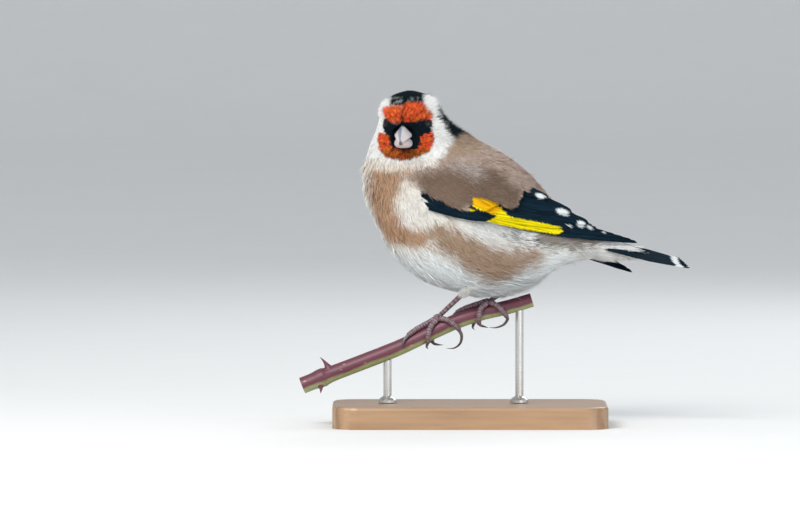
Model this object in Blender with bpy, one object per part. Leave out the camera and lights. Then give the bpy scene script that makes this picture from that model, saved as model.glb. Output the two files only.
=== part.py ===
"""Life-size European goldfinch perched on a cut length of briar, held by a plain display stand.

The bird faces -X and turns its head to -Y, where the viewer stands. +Z is up.
Shapes are worked out in millimetres about the grip point, where the feet hold the stem,
and every object hangs from one empty at that point, above the middle of the stand's foot.
"""

import math

import bmesh
import bpy
import numpy as np
from mathutils import Matrix, Vector

MM = 0.001
SEAM = 0.3  # gap that touching pieces keep
GRIP_HEIGHT = 42.0  # grip point above the table
BODY_SIDES = 28
BODY_STEP = 0.5  # ring spacing along the body, in stations

# Body stations from the crown to the rump: breast-side point (x, z), back-side point (x, z),
# y of the middle, reach towards the viewer, reach away from the viewer.
BODY_STATIONS = [
    (-22.6, 80.2, -21.4, 80.2, -6.5, 0.6, 0.6),
    (-28.2, 78.4, -15.4, 78.6, -6.8, 7.4, 6.6),
    (-31.6, 75.0, -12.2, 75.4, -7.0, 11.0, 9.4),
    (-33.0, 70.8, -10.6, 71.8, -7.0, 13.2, 11.4),
    (-34.2, 65.8, -8.2, 68.6, -6.4, 13.6, 13.4),
    (-36.4, 60.6, -4.6, 65.8, -5.4, 13.8, 15.4),
    (-38.0, 55.2, 0.4, 63.2, -3.6, 15.2, 17.2),
    (-38.6, 49.4, 5.8, 60.6, -1.6, 17.4, 18.2),
    (-38.4, 43.2, 11.4, 57.6, 0.0, 18.8, 18.8),
    (-36.8, 36.4, 16.8, 54.0, 0.0, 19.6, 19.6),
    (-33.6, 28.8, 21.6, 50.0, 0.0, 20.0, 20.0),
    (-28.6, 20.2, 25.6, 45.6, 0.0, 20.0, 20.0),
    (-21.0, 12.6, 29.0, 41.4, 0.0, 19.4, 19.4),
    (-11.0, 7.9, 32.2, 37.6, 0.0, 18.4, 18.4),
    (1.4, 5.6, 35.6, 34.2, 0.0, 16.8, 16.8),
    (13.6, 7.2, 39.2, 31.0, 0.0, 14.4, 14.4),
    (23.4, 10.2, 43.2, 28.6, 0.0, 11.6, 11.6),
    (31.8, 15.2, 47.4, 26.6, 0.0, 8.8, 8.8),
    (40.4, 18.2, 52.4, 25.8, 0.0, 6.4, 6.4),
    (49.0, 19.0, 57.4, 24.8, 0.0, 4.6, 4.6),
    (57.0, 19.4, 62.0, 23.2, 0.0, 3.0, 3.0),
]
BODY_END = len(BODY_STATIONS) - 1
HEAD_TO_NECK = 5.6  # stations where the thin cuts part the body
NECK_TO_TORSO = 7.4
TORSO_TO_TAIL = 16.6
CUT = 0.07  # width of a cut, in stations
HEAD_TURN = math.radians(8)  # the head is turned a little short of square to the body

EYE_RADIUS = 2.7
EYE_PLACES = {"left": (-14.9, 68.3), "right": (-31.0, 68.3)}
EYE_SINK = 1.75  # depth of the eye's middle under the plumage
LID_RADIUS = 2.15
LID_WIRE = 0.45

BILL_BASE = Vector((-24.1, -17.0, 64.2))
BILL_TIP = Vector((-25.5, -31.2, 61.2))
BILL_DEPTH = 8.4
BILL_WIDTH = 7.0

PERCH_RADIUS = 2.7
PERCH_Y = 0.8
PERCH_LINE = [  # (x, z) along the middle of the stem
    (-61.0, -27.6),
    (-50.0, -23.2),
    (-38.0, -18.6),
    (-25.0, -13.4),
    (-14.0, -8.2),
    (-5.0, -4.2),
    (4.0, -1.3),
    (13.0, 0.8),
    (22.5, 3.6),
]

BASE_LENGTH = 100.0
BASE_WIDTH = 54.0
BASE_THICKNESS = 8.0
BASE_MIDDLE = 0.0  # grip point's x on the base
ROD_RADIUS = 1.5
ROD_PLACES = {"front": -30.0, "rear": 18.0}


def clear_scene():
    """Removes every object that the scene opens with."""
    for found in list(bpy.data.objects):
        bpy.data.objects.remove(found, do_unlink=True)


def finish(name, colour, roughness, metallic=0.0):
    """A material with the part's colour, roughness and metallic value."""
    made = bpy.data.materials.get(name) or bpy.data.materials.new(name)
    made.use_nodes = True
    shader = made.node_tree.nodes["Principled BSDF"]
    shader.inputs["Base Color"].default_value = (*colour, 1.0)
    shader.inputs["Roughness"].default_value = roughness
    shader.inputs["Metallic"].default_value = metallic
    made.diffuse_color = (*colour, 1.0)
    return made


def along(keys, t):
    """The smooth curve through the keys at t, where whole numbers are the keys themselves."""
    last = len(keys) - 1
    t = min(max(t, 0.0), float(last))
    i = min(int(t), last - 1)
    f = t - i
    before, a, b, after = (
        np.array(keys[min(max(k, 0), last)], float) for k in (i - 1, i, i + 1, i + 2)
    )
    if i == 0:
        before = 2 * a - b
    if i == last - 1:
        after = 2 * b - a
    return 0.5 * (
        2 * a
        + (b - before) * f
        + (2 * before - 5 * a + 4 * b - after) * f * f
        + (3 * a - before - 3 * b + after) * f**3
    )


def at_x(table, x):
    """The other columns of a table at x, which is its first and rises, on a smooth curve."""
    columns = np.array(table, float)
    t = float(np.interp(x, columns[:, 0], np.arange(len(columns))))
    return along(columns[:, 1:], t)


def loft_faces(rings, sides):
    """Faces of a closed tube of rings, with a cap at each end."""
    faces = [tuple(reversed(range(sides)))]
    for r in range(rings - 1):
        for s in range(sides):
            n = (s + 1) % sides
            faces.append(
                (r * sides + s, r * sides + n, (r + 1) * sides + n, (r + 1) * sides + s)
            )
    faces.append(tuple(range((rings - 1) * sides, rings * sides)))
    return faces


def solid(name, points, faces, material=None, triangles=False):
    """A closed mesh object from points in millimetres about the grip point, facing out."""
    mesh = bpy.data.meshes.new(name)
    mesh.from_pydata([tuple(float(c) * MM for c in p) for p in points], [], faces)
    shape = bmesh.new()
    shape.from_mesh(mesh)
    if triangles:
        bmesh.ops.triangulate(shape, faces=shape.faces)
    bmesh.ops.recalc_face_normals(shape, faces=shape.faces)
    if shape.calc_volume(signed=True) < 0:
        bmesh.ops.reverse_faces(shape, faces=shape.faces)
    shape.to_mesh(mesh)
    shape.free()
    made = bpy.data.objects.new(name, mesh)
    bpy.context.scene.collection.objects.link(made)
    if material:
        mesh.materials.append(material)
    return made


def grown(source, by):
    """A copy of a solid whose surface stands off by that many millimetres."""
    shape = bmesh.new()
    shape.from_mesh(source.data)
    shape.normal_update()
    moves = [(v, v.normal * by * MM) for v in shape.verts]
    for v, move in moves:
        v.co += move
    mesh = bpy.data.meshes.new(source.name + "_grown")
    shape.to_mesh(mesh)
    shape.free()
    made = bpy.data.objects.new(source.name + "_grown", mesh)
    bpy.context.scene.collection.objects.link(made)
    return made


def keep_largest(mesh):
    """Leaves only the largest closed surface of a mesh."""
    shape = bmesh.new()
    shape.from_mesh(mesh)
    left = set(shape.verts)
    islands = []
    while left:
        seed = left.pop()
        island, edge_of = {seed}, [seed]
        while edge_of:
            v = edge_of.pop()
            for e in v.link_edges:
                other = e.other_vert(v)
                if other in left:
                    left.discard(other)
                    island.add(other)
                    edge_of.append(other)
        islands.append(island)
    islands.sort(key=len)
    for island in islands[:-1]:
        bmesh.ops.delete(shape, geom=list(island), context="VERTS")
    shape.to_mesh(mesh)
    shape.free()


def apply_modifiers(target):
    """Turns what the modifiers make into the object's own mesh."""
    bpy.context.view_layer.update()
    graph = bpy.context.evaluated_depsgraph_get()
    mesh = bpy.data.meshes.new_from_object(target.evaluated_get(graph))
    target.modifiers.clear()
    target.data = mesh


def fuse(name, pieces, material, solver="EXACT"):
    """One closed body from overlapping solids."""
    body, others = pieces[0], pieces[1:]
    group = bpy.data.collections.new(name + "_pieces")
    for piece in others:
        group.objects.link(piece)
    join = body.modifiers.new("join", "BOOLEAN")
    join.operation = "UNION"
    join.operand_type = "COLLECTION"
    join.collection = group
    join.solver = solver
    apply_modifiers(body)
    bpy.data.collections.remove(group)
    for piece in others:
        bpy.data.objects.remove(piece, do_unlink=True)
    keep_largest(body.data)
    body.name = name
    body.data.name = name
    body.data.materials.clear()
    body.data.materials.append(material)
    return body


def cut(target, cutters, solver="EXACT"):
    """Takes the cutters away from the target, and removes them."""
    for cutter in cutters:
        less = target.modifiers.new("cut", "BOOLEAN")
        less.operation = "DIFFERENCE"
        less.object = cutter
        less.solver = solver
    apply_modifiers(target)
    for cutter in cutters:
        bpy.data.objects.remove(cutter, do_unlink=True)
    keep_largest(target.data)
    return target


def body_frame(t):
    """Middle, back-ward half, viewer-ward reach and far reach of the body's ring at t."""
    fx, fz, bx, bz, y, near, far = along(BODY_STATIONS, t)
    middle = Vector(((fx + bx) / 2, y, (fz + bz) / 2))
    half = Vector(((bx - fx) / 2, 0.0, (bz - fz) / 2))
    return middle, half, near, far


def body_ring(t, sides=BODY_SIDES):
    """Points of the body's ring at t, going round from the back."""
    middle, half, near, far = body_frame(t)
    turn = HEAD_TURN * max(0.0, min(1.0, (HEAD_TO_NECK + 1 - t) / 2))
    ring = []
    for s in range(sides):
        angle = 2 * math.pi * s / sides
        back = math.cos(angle + turn)
        side = math.sin(angle + turn)
        reach = far if math.sin(angle) > 0 else near
        turned = Vector((0.0, 1.0, 0.0)) * reach * math.sin(angle)
        plain = middle + half * math.cos(angle) + turned
        swung = middle + half * back + Vector((0.0, 1.0, 0.0)) * reach * side
        ring.append(plain.lerp(swung, 0.35))
    return ring


def body_solid(name, start, end, material=None, sides=BODY_SIDES):
    """The length of the body between two stations, as a closed solid."""
    count = max(2, round((end - start) / BODY_STEP) + 1)
    rings = [body_ring(float(t), sides) for t in np.linspace(start, end, count)]
    points = [p for ring in rings for p in ring]
    return solid(name, points, loft_faces(count, sides), material)


def near_surface(x, z):
    """The y of the body's viewer-ward surface at (x, z), or None past its outline."""
    low, high = 0.0, float(BODY_END)
    for _ in range(24):
        t = (low + high) / 2
        middle, half, near, _far = body_frame(t)
        side = half.x * (z - middle.z) - half.z * (x - middle.x)
        if side > 0:
            high = t
        else:
            low = t
    share = ((x - middle.x) * half.x + (z - middle.z) * half.z) / half.length_squared
    if abs(share) >= 1:
        return None
    return middle.y - near * math.sqrt(1 - share * share)


def frames(path):
    """Tangent and two across directions at each point of a path, without twisting."""
    path = [Vector(p) for p in path]
    tangents = []
    for i in range(len(path)):
        ahead = path[min(i + 1, len(path) - 1)]
        behind = path[max(i - 1, 0)]
        tangents.append((ahead - behind).normalized())
    across = tangents[0].orthogonal().normalized()
    made = []
    for tangent in tangents:
        across = (across - tangent * across.dot(tangent)).normalized()
        made.append((tangent, across, tangent.cross(across)))
    return made


def tube_points(path, radii, sides, flatten=1.0):
    """Rings of points round a path."""
    points = []
    for centre, radius, (_t, a, b) in zip(path, radii, frames(path)):
        for s in range(sides):
            angle = 2 * math.pi * s / sides
            points.append(
                Vector(centre)
                + a * math.cos(angle) * radius
                + b * math.sin(angle) * radius * flatten
            )
    return points


def tube(name, path, radii, sides, material=None):
    """A closed tube round a path."""
    points = tube_points(path, radii, sides)
    return solid(name, points, loft_faces(len(path), sides), material)


def smooth_path(keys, count):
    """That many points on the smooth curve through the keys."""
    return [
        Vector(along(keys, t)) for t in np.linspace(0, len(keys) - 1, count)
    ]


def ball(name, centre, radii, rows, sides, material=None):
    """A ball or egg with its poles on Z."""
    rings = []
    for r in range(1, rows):
        polar = math.pi * r / rows
        rings.append(
            [
                Vector(
                    (
                        centre[0] + radii[0] * math.sin(polar) * math.cos(a),
                        centre[1] + radii[1] * math.sin(polar) * math.sin(a),
                        centre[2] + radii[2] * math.cos(polar),
                    )
                )
                for a in (2 * math.pi * s / sides for s in range(sides))
            ]
        )
    points = [p for ring in rings for p in ring]
    faces = loft_faces(len(rings), sides)[1:-1]
    top, bottom = len(points), len(points) + 1
    points.append(Vector((centre[0], centre[1], centre[2] + radii[2])))
    points.append(Vector((centre[0], centre[1], centre[2] - radii[2])))
    last = (len(rings) - 1) * sides
    for s in range(sides):
        n = (s + 1) % sides
        faces.append((top, n, s))
        faces.append((bottom, last + s, last + n))
    return solid(name, points, faces, material)


# Head: the crown-to-throat length of the body, with eye sockets, lids and the bill's seat.


def surface_normal(x, z):
    """Outward direction of the body's viewer-ward surface at (x, z)."""
    step = 0.4
    y = near_surface(x, z)
    slope_x = (near_surface(x + step, z) - near_surface(x - step, z)) / (2 * step)
    slope_z = (near_surface(x, z + step) - near_surface(x, z - step)) / (2 * step)
    return Vector((x, y, z)), Vector((slope_x, -1.0, slope_z)).normalized()


def eye_frame(side):
    """Middle of the eye ball and the direction that it looks in."""
    x, z = EYE_PLACES[side]
    skin, out = surface_normal(x, z)
    return skin - out * EYE_SINK, out


def lid_ring(side):
    """The rim of skin that stands round an eye."""
    centre, out = eye_frame(side)
    up = (Vector((0, 0, 1)) - out * out.z).normalized()
    across = out.cross(up)
    height = math.sqrt(max(0.0, EYE_RADIUS**2 - LID_RADIUS**2)) + 0.25
    sides, wire_sides = 14, 5
    points = []
    for s in range(sides):
        angle = 2 * math.pi * s / sides
        radial = across * math.cos(angle) + up * math.sin(angle) * 0.92
        middle = centre + out * height + radial * (LID_RADIUS + 0.1)
        for w in range(wire_sides):
            turn = 2 * math.pi * w / wire_sides
            points.append(
                middle
                + radial * math.cos(turn) * LID_WIRE
                + out * math.sin(turn) * LID_WIRE
            )
    faces = []
    for s in range(sides):
        n = (s + 1) % sides
        for w in range(wire_sides):
            m = (w + 1) % wire_sides
            faces.append(
                (
                    s * wire_sides + w,
                    s * wire_sides + m,
                    n * wire_sides + m,
                    n * wire_sides + w,
                )
            )
    return solid("lid_" + side, points, faces)


def make_eyes(material):
    """Both eye balls."""
    eyes = []
    for side in EYE_PLACES:
        centre, _out = eye_frame(side)
        eye = ball("eye_" + side, centre, [EYE_RADIUS] * 3, 8, 12, material)
        eyes.append(eye)
    return eyes


def bill_path_axes():
    """The bill's own forward, left and up directions."""
    forward = (BILL_TIP - BILL_BASE).normalized()
    left = Vector((0, 0, 1)).cross(forward).normalized()
    return forward, left, forward.cross(left)


def mandible(name, upper, material=None, grow=0.0):
    """Half of the cone of the bill, above or below the line of the mouth."""
    forward, left, up = bill_path_axes()
    length = (BILL_TIP - BILL_BASE).length * (1.0 if upper else 0.93)
    points = []
    shares = [0.0, 0.2, 0.4, 0.58, 0.74, 0.87, 0.96, 1.0]
    arc = [180 * k / 6 for k in range(7)]
    for s in shares:
        taper = max(0.045, (1 - s) ** 0.82 * (1 + 0.16 * math.sin(math.pi * s)))
        wide = BILL_WIDTH / 2 * taper
        tall = BILL_DEPTH * (0.56 if upper else 0.44) * taper
        droop = -0.55 * s * s if upper else 0.0
        mouth = up * (-0.7 * (1 - s) ** 2 + 0.08)
        gap = SEAM / 2 if upper else -SEAM / 2
        centre = BILL_BASE + forward * length * s + up * (gap + droop * 0.4) + mouth
        for a in arc:
            c, d = math.cos(math.radians(a)), math.sin(math.radians(a))
            rise = d ** (0.92 if upper else 1.1) if d > 0 else 0.0
            sign = 1 if upper else -1
            points.append(
                centre
                + left * c * (wide + grow)
                + up * sign * (rise * (tall + grow) - (grow if d < 0.01 else 0.0))
            )
    return solid(name, points, loft_faces(len(shares), len(arc)), material)


def nostril_cutter(side):
    """A small oval pit in the upper half of the bill, at its root."""
    forward, left, up = bill_path_axes()
    centre = BILL_BASE + forward * 4.4 + up * 2.1 + left * side * 2.55
    return ball("nostril", centre, (0.55, 0.7, 0.45), 4, 6)


def make_head(material):
    """The head with lids and sockets, less the bill's roots."""
    head = body_solid("head", 0.0, HEAD_TO_NECK, material)
    head = fuse("head", [head, lid_ring("left"), lid_ring("right")], material)
    sockets = [
        ball("socket", eye_frame(side)[0], [EYE_RADIUS + SEAM] * 3, 8, 12)
        for side in EYE_PLACES
    ]
    return cut(head, sockets)


def make_bill(material, head):
    """Upper and lower halves of the bill, seated on the face."""
    halves = []
    for name, upper in (("bill_upper", True), ("bill_lower", False)):
        half = mandible(name, upper, material)
        cutters = [grown(head, SEAM)]
        if upper:
            cutters += [nostril_cutter(1), nostril_cutter(-1)]
        halves.append(cut(half, cutters))
    return halves


# Feathers: a vane is a flat, ridged blade that follows a surface from its root to its tip.

ROUND_TIP = [(0.0, 0.6), (0.4, 1.0), (0.8, 0.9), (0.94, 0.56), (1.0, 0.14)]
POINTED_TIP = [(0.0, 0.6), (0.45, 1.0), (0.75, 0.84), (0.93, 0.44), (1.0, 0.12)]
VANE_THICKNESS = 0.55


def vane(surface, root, tip, half_width, lifts, outline=ROUND_TIP, bow=0.0):
    """A blade on a surface that maps (x, z, lift) to a point, from its root to its tip."""
    root, tip = Vector(root), Vector(tip)
    run = tip - root
    aside = Vector((-run.y, run.x)).normalized()
    points = []
    for share, width in outline:
        line = root + run * share + aside * bow * 4 * share * (1 - share)
        lift = lifts[0] + (lifts[1] - lifts[0]) * share
        reach = half_width * width
        half = VANE_THICKNESS / 2
        corners = (
            (-0.84 * reach, lift + half),
            (0.84 * reach, lift + half),
            (reach, lift - half),
            (-reach, lift - half),
        )
        for across, up in corners:
            place = line + aside * across
            points.append(surface(place.x, place.y, up))
    return solid("vane", points, loft_faces(len(outline), 4), triangles=True)


# Wing: an outer surface over the body's side that narrows to the wing tips.
# Columns: x, reach from the mid-plane, height of the middle, half height.
WING_SHAPE = [
    (-26.0, 15.8, 38.0, 30.0),
    (-18.0, 19.0, 36.0, 30.0),
    (-8.0, 20.9, 33.5, 30.0),
    (2.0, 21.3, 30.5, 30.0),
    (12.0, 20.4, 27.5, 28.0),
    (22.0, 18.0, 24.5, 25.0),
    (32.0, 14.6, 22.5, 21.0),
    (42.0, 10.8, 21.5, 17.0),
    (52.0, 7.4, 20.5, 14.0),
    (62.0, 4.6, 20.0, 12.0),
]


def wing_surface(x, z, lift):
    """A point on the near wing's outer surface, raised by lift."""

    def depth(x, z):
        reach, middle, half = at_x(WING_SHAPE, x)
        share = min(abs(z - middle) / half, 0.97)
        return -reach * math.sqrt(1 - share * share)

    step = 0.5
    slope_x = (depth(x + step, z) - depth(x - step, z)) / (2 * step)
    slope_z = (depth(x, z + step) - depth(x, z - step)) / (2 * step)
    out = Vector((slope_x, -1.0, slope_z)).normalized()
    return Vector((x, depth(x, z), z)) + out * lift


WING_EDGES = [  # x, lower edge z, upper edge z, thickness of the core under the surface
    (-21.0, 43.6, 46.4, 8.0),
    (-18.0, 40.4, 50.2, 9.0),
    (-12.0, 37.2, 53.4, 10.0),
    (-4.0, 34.6, 54.4, 10.0),
    (6.0, 32.8, 52.4, 9.0),
    (14.0, 31.6, 48.8, 6.0),
    (20.0, 30.8, 44.6, 2.6),
    (25.0, 30.2, 40.4, 1.4),
    (29.0, 29.8, 36.6, 1.0),
]


def wing_core():
    """The arm and the small coverts, as one low dome sunk into the body's side."""
    across, rows = 6, 13
    outer, inner = [], []
    for t in np.linspace(0, len(WING_EDGES) - 1, rows):
        x, low, high, depth = along(WING_EDGES, float(t))
        for k in range(across + 1):
            v = k / across
            z = low + (high - low) * v
            dome = math.sin(math.pi * (0.06 + 0.88 * v)) ** 0.5
            outer.append(wing_surface(x, z, 0.9 * dome - 0.5))
            inner.append(wing_surface(x, z, -depth * (0.75 + 0.25 * dome)))
    width = across + 1
    faces = []
    shift = len(outer)
    for r in range(rows - 1):
        for k in range(across):
            a = r * width + k
            b, c, d = a + 1, a + width + 1, a + width
            faces.append((a, b, c))
            faces.append((a, c, d))
            faces.append((shift + a, shift + c, shift + b))
            faces.append((shift + a, shift + d, shift + c))
    for r in range(rows - 1):
        for edge in (0, across):
            a, d = r * width + edge, (r + 1) * width + edge
            faces.append((a, d, shift + d, shift + a))
    for row in (0, rows - 1):
        for k in range(across):
            a, b = row * width + k, row * width + k + 1
            faces.append((a, b, shift + b, shift + a))
    return solid("wing_core", outer + inner, faces)


PRIMARY_TIPS = [(58.6, 24.9), (61.2, 24.7), (60.2, 25.5), (56.6, 26.8), (52.4, 28.1)]
PRIMARY_TIPS += [(48.4, 29.3), (44.8, 30.3)]


def wing_vanes():
    """Flight feathers and coverts of a folded wing, tier over tier."""
    made = []
    for i, tip in enumerate(PRIMARY_TIPS):
        root = (2.0 + 1.2 * i, 34.2 + 0.35 * i)
        lifts = (-0.5, -1.5 + 0.27 * i)
        made.append(
            vane(wing_surface, root, tip, 2.1, lifts, POINTED_TIP, bow=-0.5)
        )
    for i in range(5):
        root = (4.0 + 1.2 * i, 36.6 + 0.9 * i)
        tip = (42.4 - 1.9 * i, 31.0 + 0.95 * i)
        lifts = (0.0, 0.45 + 0.24 * i)
        made.append(vane(wing_surface, root, tip, 2.5, lifts, bow=-0.4))
    for i, tip in enumerate([(35.6, 34.4), (27.6, 39.8), (20.6, 43.6)]):
        root = (7.5, 40.6 + 2.5 * i)
        lifts = (0.5, 1.75 + 0.25 * i)
        made.append(vane(wing_surface, root, tip, 3.1, lifts, bow=0.5))
    for i in range(2):
        root = (-17.0 + 1.5 * i, 41.6 + 0.8 * i)
        tip = (-1.0 - 3.0 * i, 35.2 + 0.9 * i)
        made.append(vane(wing_surface, root, tip, 1.7, (0.1, 0.75 + 0.3 * i)))
    for i in range(4):
        root = (-12.0 + 2.2 * i, 40.0 + 0.2 * i)
        tip = (9.6 - 0.5 * i, 32.6 + 0.95 * i)
        made.append(
            vane(wing_surface, root, tip, 1.6, (0.2, 0.5 + 0.2 * i), POINTED_TIP)
        )
    for i in range(7):
        root = (-7.0 + 2.3 * i, 41.4 + 0.75 * i)
        tip = (4.8 + 1.75 * i, 36.2 + 1.25 * i)
        made.append(vane(wing_surface, root, tip, 2.0, (0.5, 1.3 + 0.16 * i)))
    for i in range(6):
        root = (-13.0 + 3.0 * i, 44.4 + 0.9 * i)
        tip = (-3.2 + 2.9 * i, 39.2 + 1.35 * i)
        made.append(vane(wing_surface, root, tip, 2.5, (0.6, 1.6 + 0.1 * i)))
    for i in range(5):
        root = (-15.0 + 3.4 * i, 48.0 + 0.7 * i)
        tip = (-6.0 + 3.4 * i, 43.4 + 1.15 * i)
        made.append(vane(wing_surface, root, tip, 2.9, (0.7, 1.7 + 0.1 * i)))
    return made


FAR_WING_DROOP = math.radians(12)  # the far wing hangs lower, its tip under the tail
FAR_WING_SHIFT = Vector((3.8, 0.0, 4.2))
FAR_WING_SPREAD = math.radians(2.2)
FAR_WING_PIVOT = Vector((-15.0, 18.0, 45.0))


def make_wings(material):
    """The near wing, and the far one as its mirror image, dropped a little."""
    left = fuse("wing_left", [wing_core(), *wing_vanes()], material)
    mesh = left.data.copy()
    right = bpy.data.objects.new("wing_right", mesh)
    bpy.context.scene.collection.objects.link(right)
    pivot = FAR_WING_PIVOT * MM
    move = Matrix.Translation(pivot + FAR_WING_SHIFT * MM)
    move @= Matrix.Rotation(FAR_WING_SPREAD, 4, "Z")
    move @= Matrix.Rotation(FAR_WING_DROOP, 4, "Y")
    move @= Matrix.Translation(-pivot)
    mesh.transform(move @ Matrix.Scale(-1, 4, Vector((0, 1, 0))))
    mesh.flip_normals()
    for wing in (left, right):
        cut(wing, [body_cutter()])
    return [left, right]


def body_cutter():
    """The whole body from the crown to the rump, a seam larger, for cutting what lies on it."""
    hull = body_solid("hull", 0.0, BODY_END)
    cutter = grown(hull, SEAM)
    bpy.data.objects.remove(hull, do_unlink=True)
    return cutter


# Tail: paired feathers that fan a little and slope to both sides like a roof.

TAIL_ROOT = (45.5, 25.8)
TAIL_LENGTH = 31.5
TAIL_DROP = math.radians(12.2)
TAIL_ROOF = math.radians(22)
TAIL_PAIRS = 6
TAIL_COVERT_ROWS = 1


def tail_surface(side, pair):
    """The plane of one tail feather: along it, across it and its lift."""
    forward = Vector((math.cos(TAIL_DROP), 0.0, -math.sin(TAIL_DROP)))
    fan = math.radians(0.5 + 1.15 * pair) * side
    forward = Matrix.Rotation(fan, 3, "Z") @ forward
    across = Vector((0.0, math.cos(TAIL_ROOF) * side, -math.sin(TAIL_ROOF)))
    across = (across - forward * across.dot(forward)).normalized()
    up = forward.cross(across) * side
    start = Vector((TAIL_ROOT[0], 0.35 * side * pair, TAIL_ROOT[1] - 0.1 * pair))

    def place(run, aside, lift):
        return start + forward * run + across * aside + up * lift

    return place


def tail_covert(row, aside, above):
    """One short feather over or under the roots of the tail feathers."""
    lie = math.radians(-5 if above else 1.5) - TAIL_DROP
    side = 1 if above else -1
    forward = Vector((math.cos(lie), 0.0, math.sin(lie)))
    across = Matrix.Rotation(side * aside * math.radians(24), 3, forward) @ Vector((0, 1, 0))
    up = across.cross(forward) * -side
    start = Vector((50.0 + 2.5 * row, 0.0, (23.8 if above else 21.0) - 0.3 * row))

    def place(run, sideways, lift):
        return start + forward * run + across * sideways + up * lift

    middle = aside * 2.0
    length = (11.0 if above else 10.5) - abs(aside) + 2.0 * row
    return vane(place, (0.0, middle * 0.6), (length, middle), 2.3, (0.9, 0.3))


def make_tail(material):
    """The covert cone behind the rump with twelve tail feathers rooted in it."""
    cone = body_solid("tail", TORSO_TO_TAIL + CUT, BODY_END, material)
    pieces = [cone]
    for pair in range(TAIL_PAIRS):
        length = TAIL_LENGTH + 0.85 * pair
        for side in (1, -1):
            place = tail_surface(side, pair)
            middle = 1.2 + 0.32 * pair
            lifts = (0.05 - 0.1 * pair, 0.3 - 0.27 * pair - 0.02 * side)
            pieces.append(
                vane(place, (0.0, middle), (length, middle), 2.5, lifts)
            )
    for row in range(TAIL_COVERT_ROWS):
        for aside in (-1, 0, 1):
            for above in (True, False):
                pieces.append(tail_covert(row, aside, above))
    return fuse("tail", pieces, material)


# Perch: a slightly bent briar stem with a leaf scar and thorns, cut square at both ends.


def perch_point(x):
    """The middle of the stem at x, and the stem's direction there."""
    columns = np.array(PERCH_LINE, float)
    t = float(np.interp(x, columns[:, 0], np.arange(len(columns))))
    here = along(columns, t)
    ahead = along(columns, min(t + 0.05, len(columns) - 1.0))
    behind = along(columns, max(t - 0.05, 0.0))
    run = Vector((ahead[0] - behind[0], 0.0, ahead[1] - behind[1])).normalized()
    return Vector((here[0], PERCH_Y, here[1])), run


def perch_radius(x):
    """The stem's radius at x: swollen at the leaf scar, and thinner to the right."""
    scar = math.exp(-(((x + 54.0) / 2.2) ** 2))
    return PERCH_RADIUS + 0.3 * (-x / 60.0) * (x < 0) - 0.2 * max(0.0, x / 22.0) + 0.45 * scar


def around_perch(x, angle, clear):
    """A point round the stem: angle 0 is its top and 90 the viewer's side, in degrees."""
    centre, run = perch_point(x)
    viewer = Vector((0.0, -1.0, 0.0))
    top = viewer.cross(run).normalized()
    if top.z < 0:
        top = -top
    turn = math.radians(angle)
    radial = top * math.cos(turn) + viewer * math.sin(turn)
    return centre + radial * (perch_radius(x) + clear)


def thorn(x, angle, height, lean):
    """A broad-footed thorn that curves back along the stem."""
    _centre, run = perch_point(x)
    path = []
    for s in (0.0, 0.25, 0.5, 0.75, 1.0):
        foot = around_perch(x, angle, -1.0 + (height + 1.0) * s)
        path.append(foot + run * lean * s * s)
    radii = [1.7, 1.05, 0.65, 0.35, 0.1]
    return tube("thorn", path, radii, 8)


def make_perch(material):
    """The cut length of stem with its thorns."""
    xs = np.linspace(PERCH_LINE[0][0], PERCH_LINE[-1][0], 19)
    path = [perch_point(float(x))[0] for x in xs]
    stem = tube("perch", path, [perch_radius(float(x)) for x in xs], 14, material)
    thorns = [thorn(-50.6, 8, 4.4, -1.4), thorn(-55.2, 150, 2.4, -1.0)]
    thorns.append(thorn(-34.0, -100, 3.2, -1.2))
    return fuse("perch", [stem, *thorns], material)


# Legs: a feathered thigh, and the bare foot of one long bone, four toes and their claws.

FEET = {"left": -10.0, "right": 7.6}  # x of each foot's middle on the stem
ANKLES = {"left": Vector((-2.4, -5.6, 6.4)), "right": Vector((11.6, 4.4, 6.0))}
THIGH_LENGTH = 6.5


def foot_middle(side):
    """The point on top of the stem where the toes meet."""
    return around_perch(FEET[side], 4 if side == "left" else -30, 1.35)


def make_thigh(side, material):
    """The feathered end of the leg, from the belly down to the bare bone."""
    ankle, foot = ANKLES[side], foot_middle(side)
    down = (foot - ankle).normalized()
    top = ankle - down * THIGH_LENGTH
    stops = (0.0, 0.35, 0.65, 0.88, 1.0)
    path = [top.lerp(ankle, s) for s in stops]
    thigh = tube("leg_" + side, path, [4.4, 3.8, 2.9, 2.0, 1.2], 12, material)
    return cut(thigh, [body_cutter()])


# Toes: stops of (run along the stem, angle round it, clearance), then the claw's own stops.
# Runs are from the foot's middle, negative towards the bird's front.
TOES = {
    "outer": ([(0, 20, 1.2), (-3.2, 52, 1.05), (-5.4, 92, 1.0), (-6.6, 132, 1.0)],
              [(-7.4, 160, 0.9), (-7.8, 184, 1.5), (-7.4, 200, 2.6)]),
    "middle": ([(0, 5, 1.3), (-4.4, 14, 1.05), (-8.2, 22, 1.0), (-11.2, 38, 1.0)],
               [(-13.0, 56, 0.9), (-14.2, 78, 0.9), (-14.7, 98, 1.0)]),
    "inner": ([(0, -20, 1.2), (-3.0, -58, 1.05), (-4.6, -102, 1.0), (-5.2, -146, 1.1)],
              [(-4.8, -172, 1.5), (-3.6, -188, 2.4), (-2.2, -196, 3.4)]),
    "hind": ([(0.4, 30, 1.3), (2.4, 62, 1.2), (4.0, 98, 1.2), (4.9, 130, 1.9)],
             [(5.0, 152, 3.4), (3.4, 168, 5.3), (0.6, 178, 5.9), (-2.0, 186, 4.9)]),
}
TOE_RADIUS = 0.95
CLAW_RADIUS = 0.68


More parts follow.
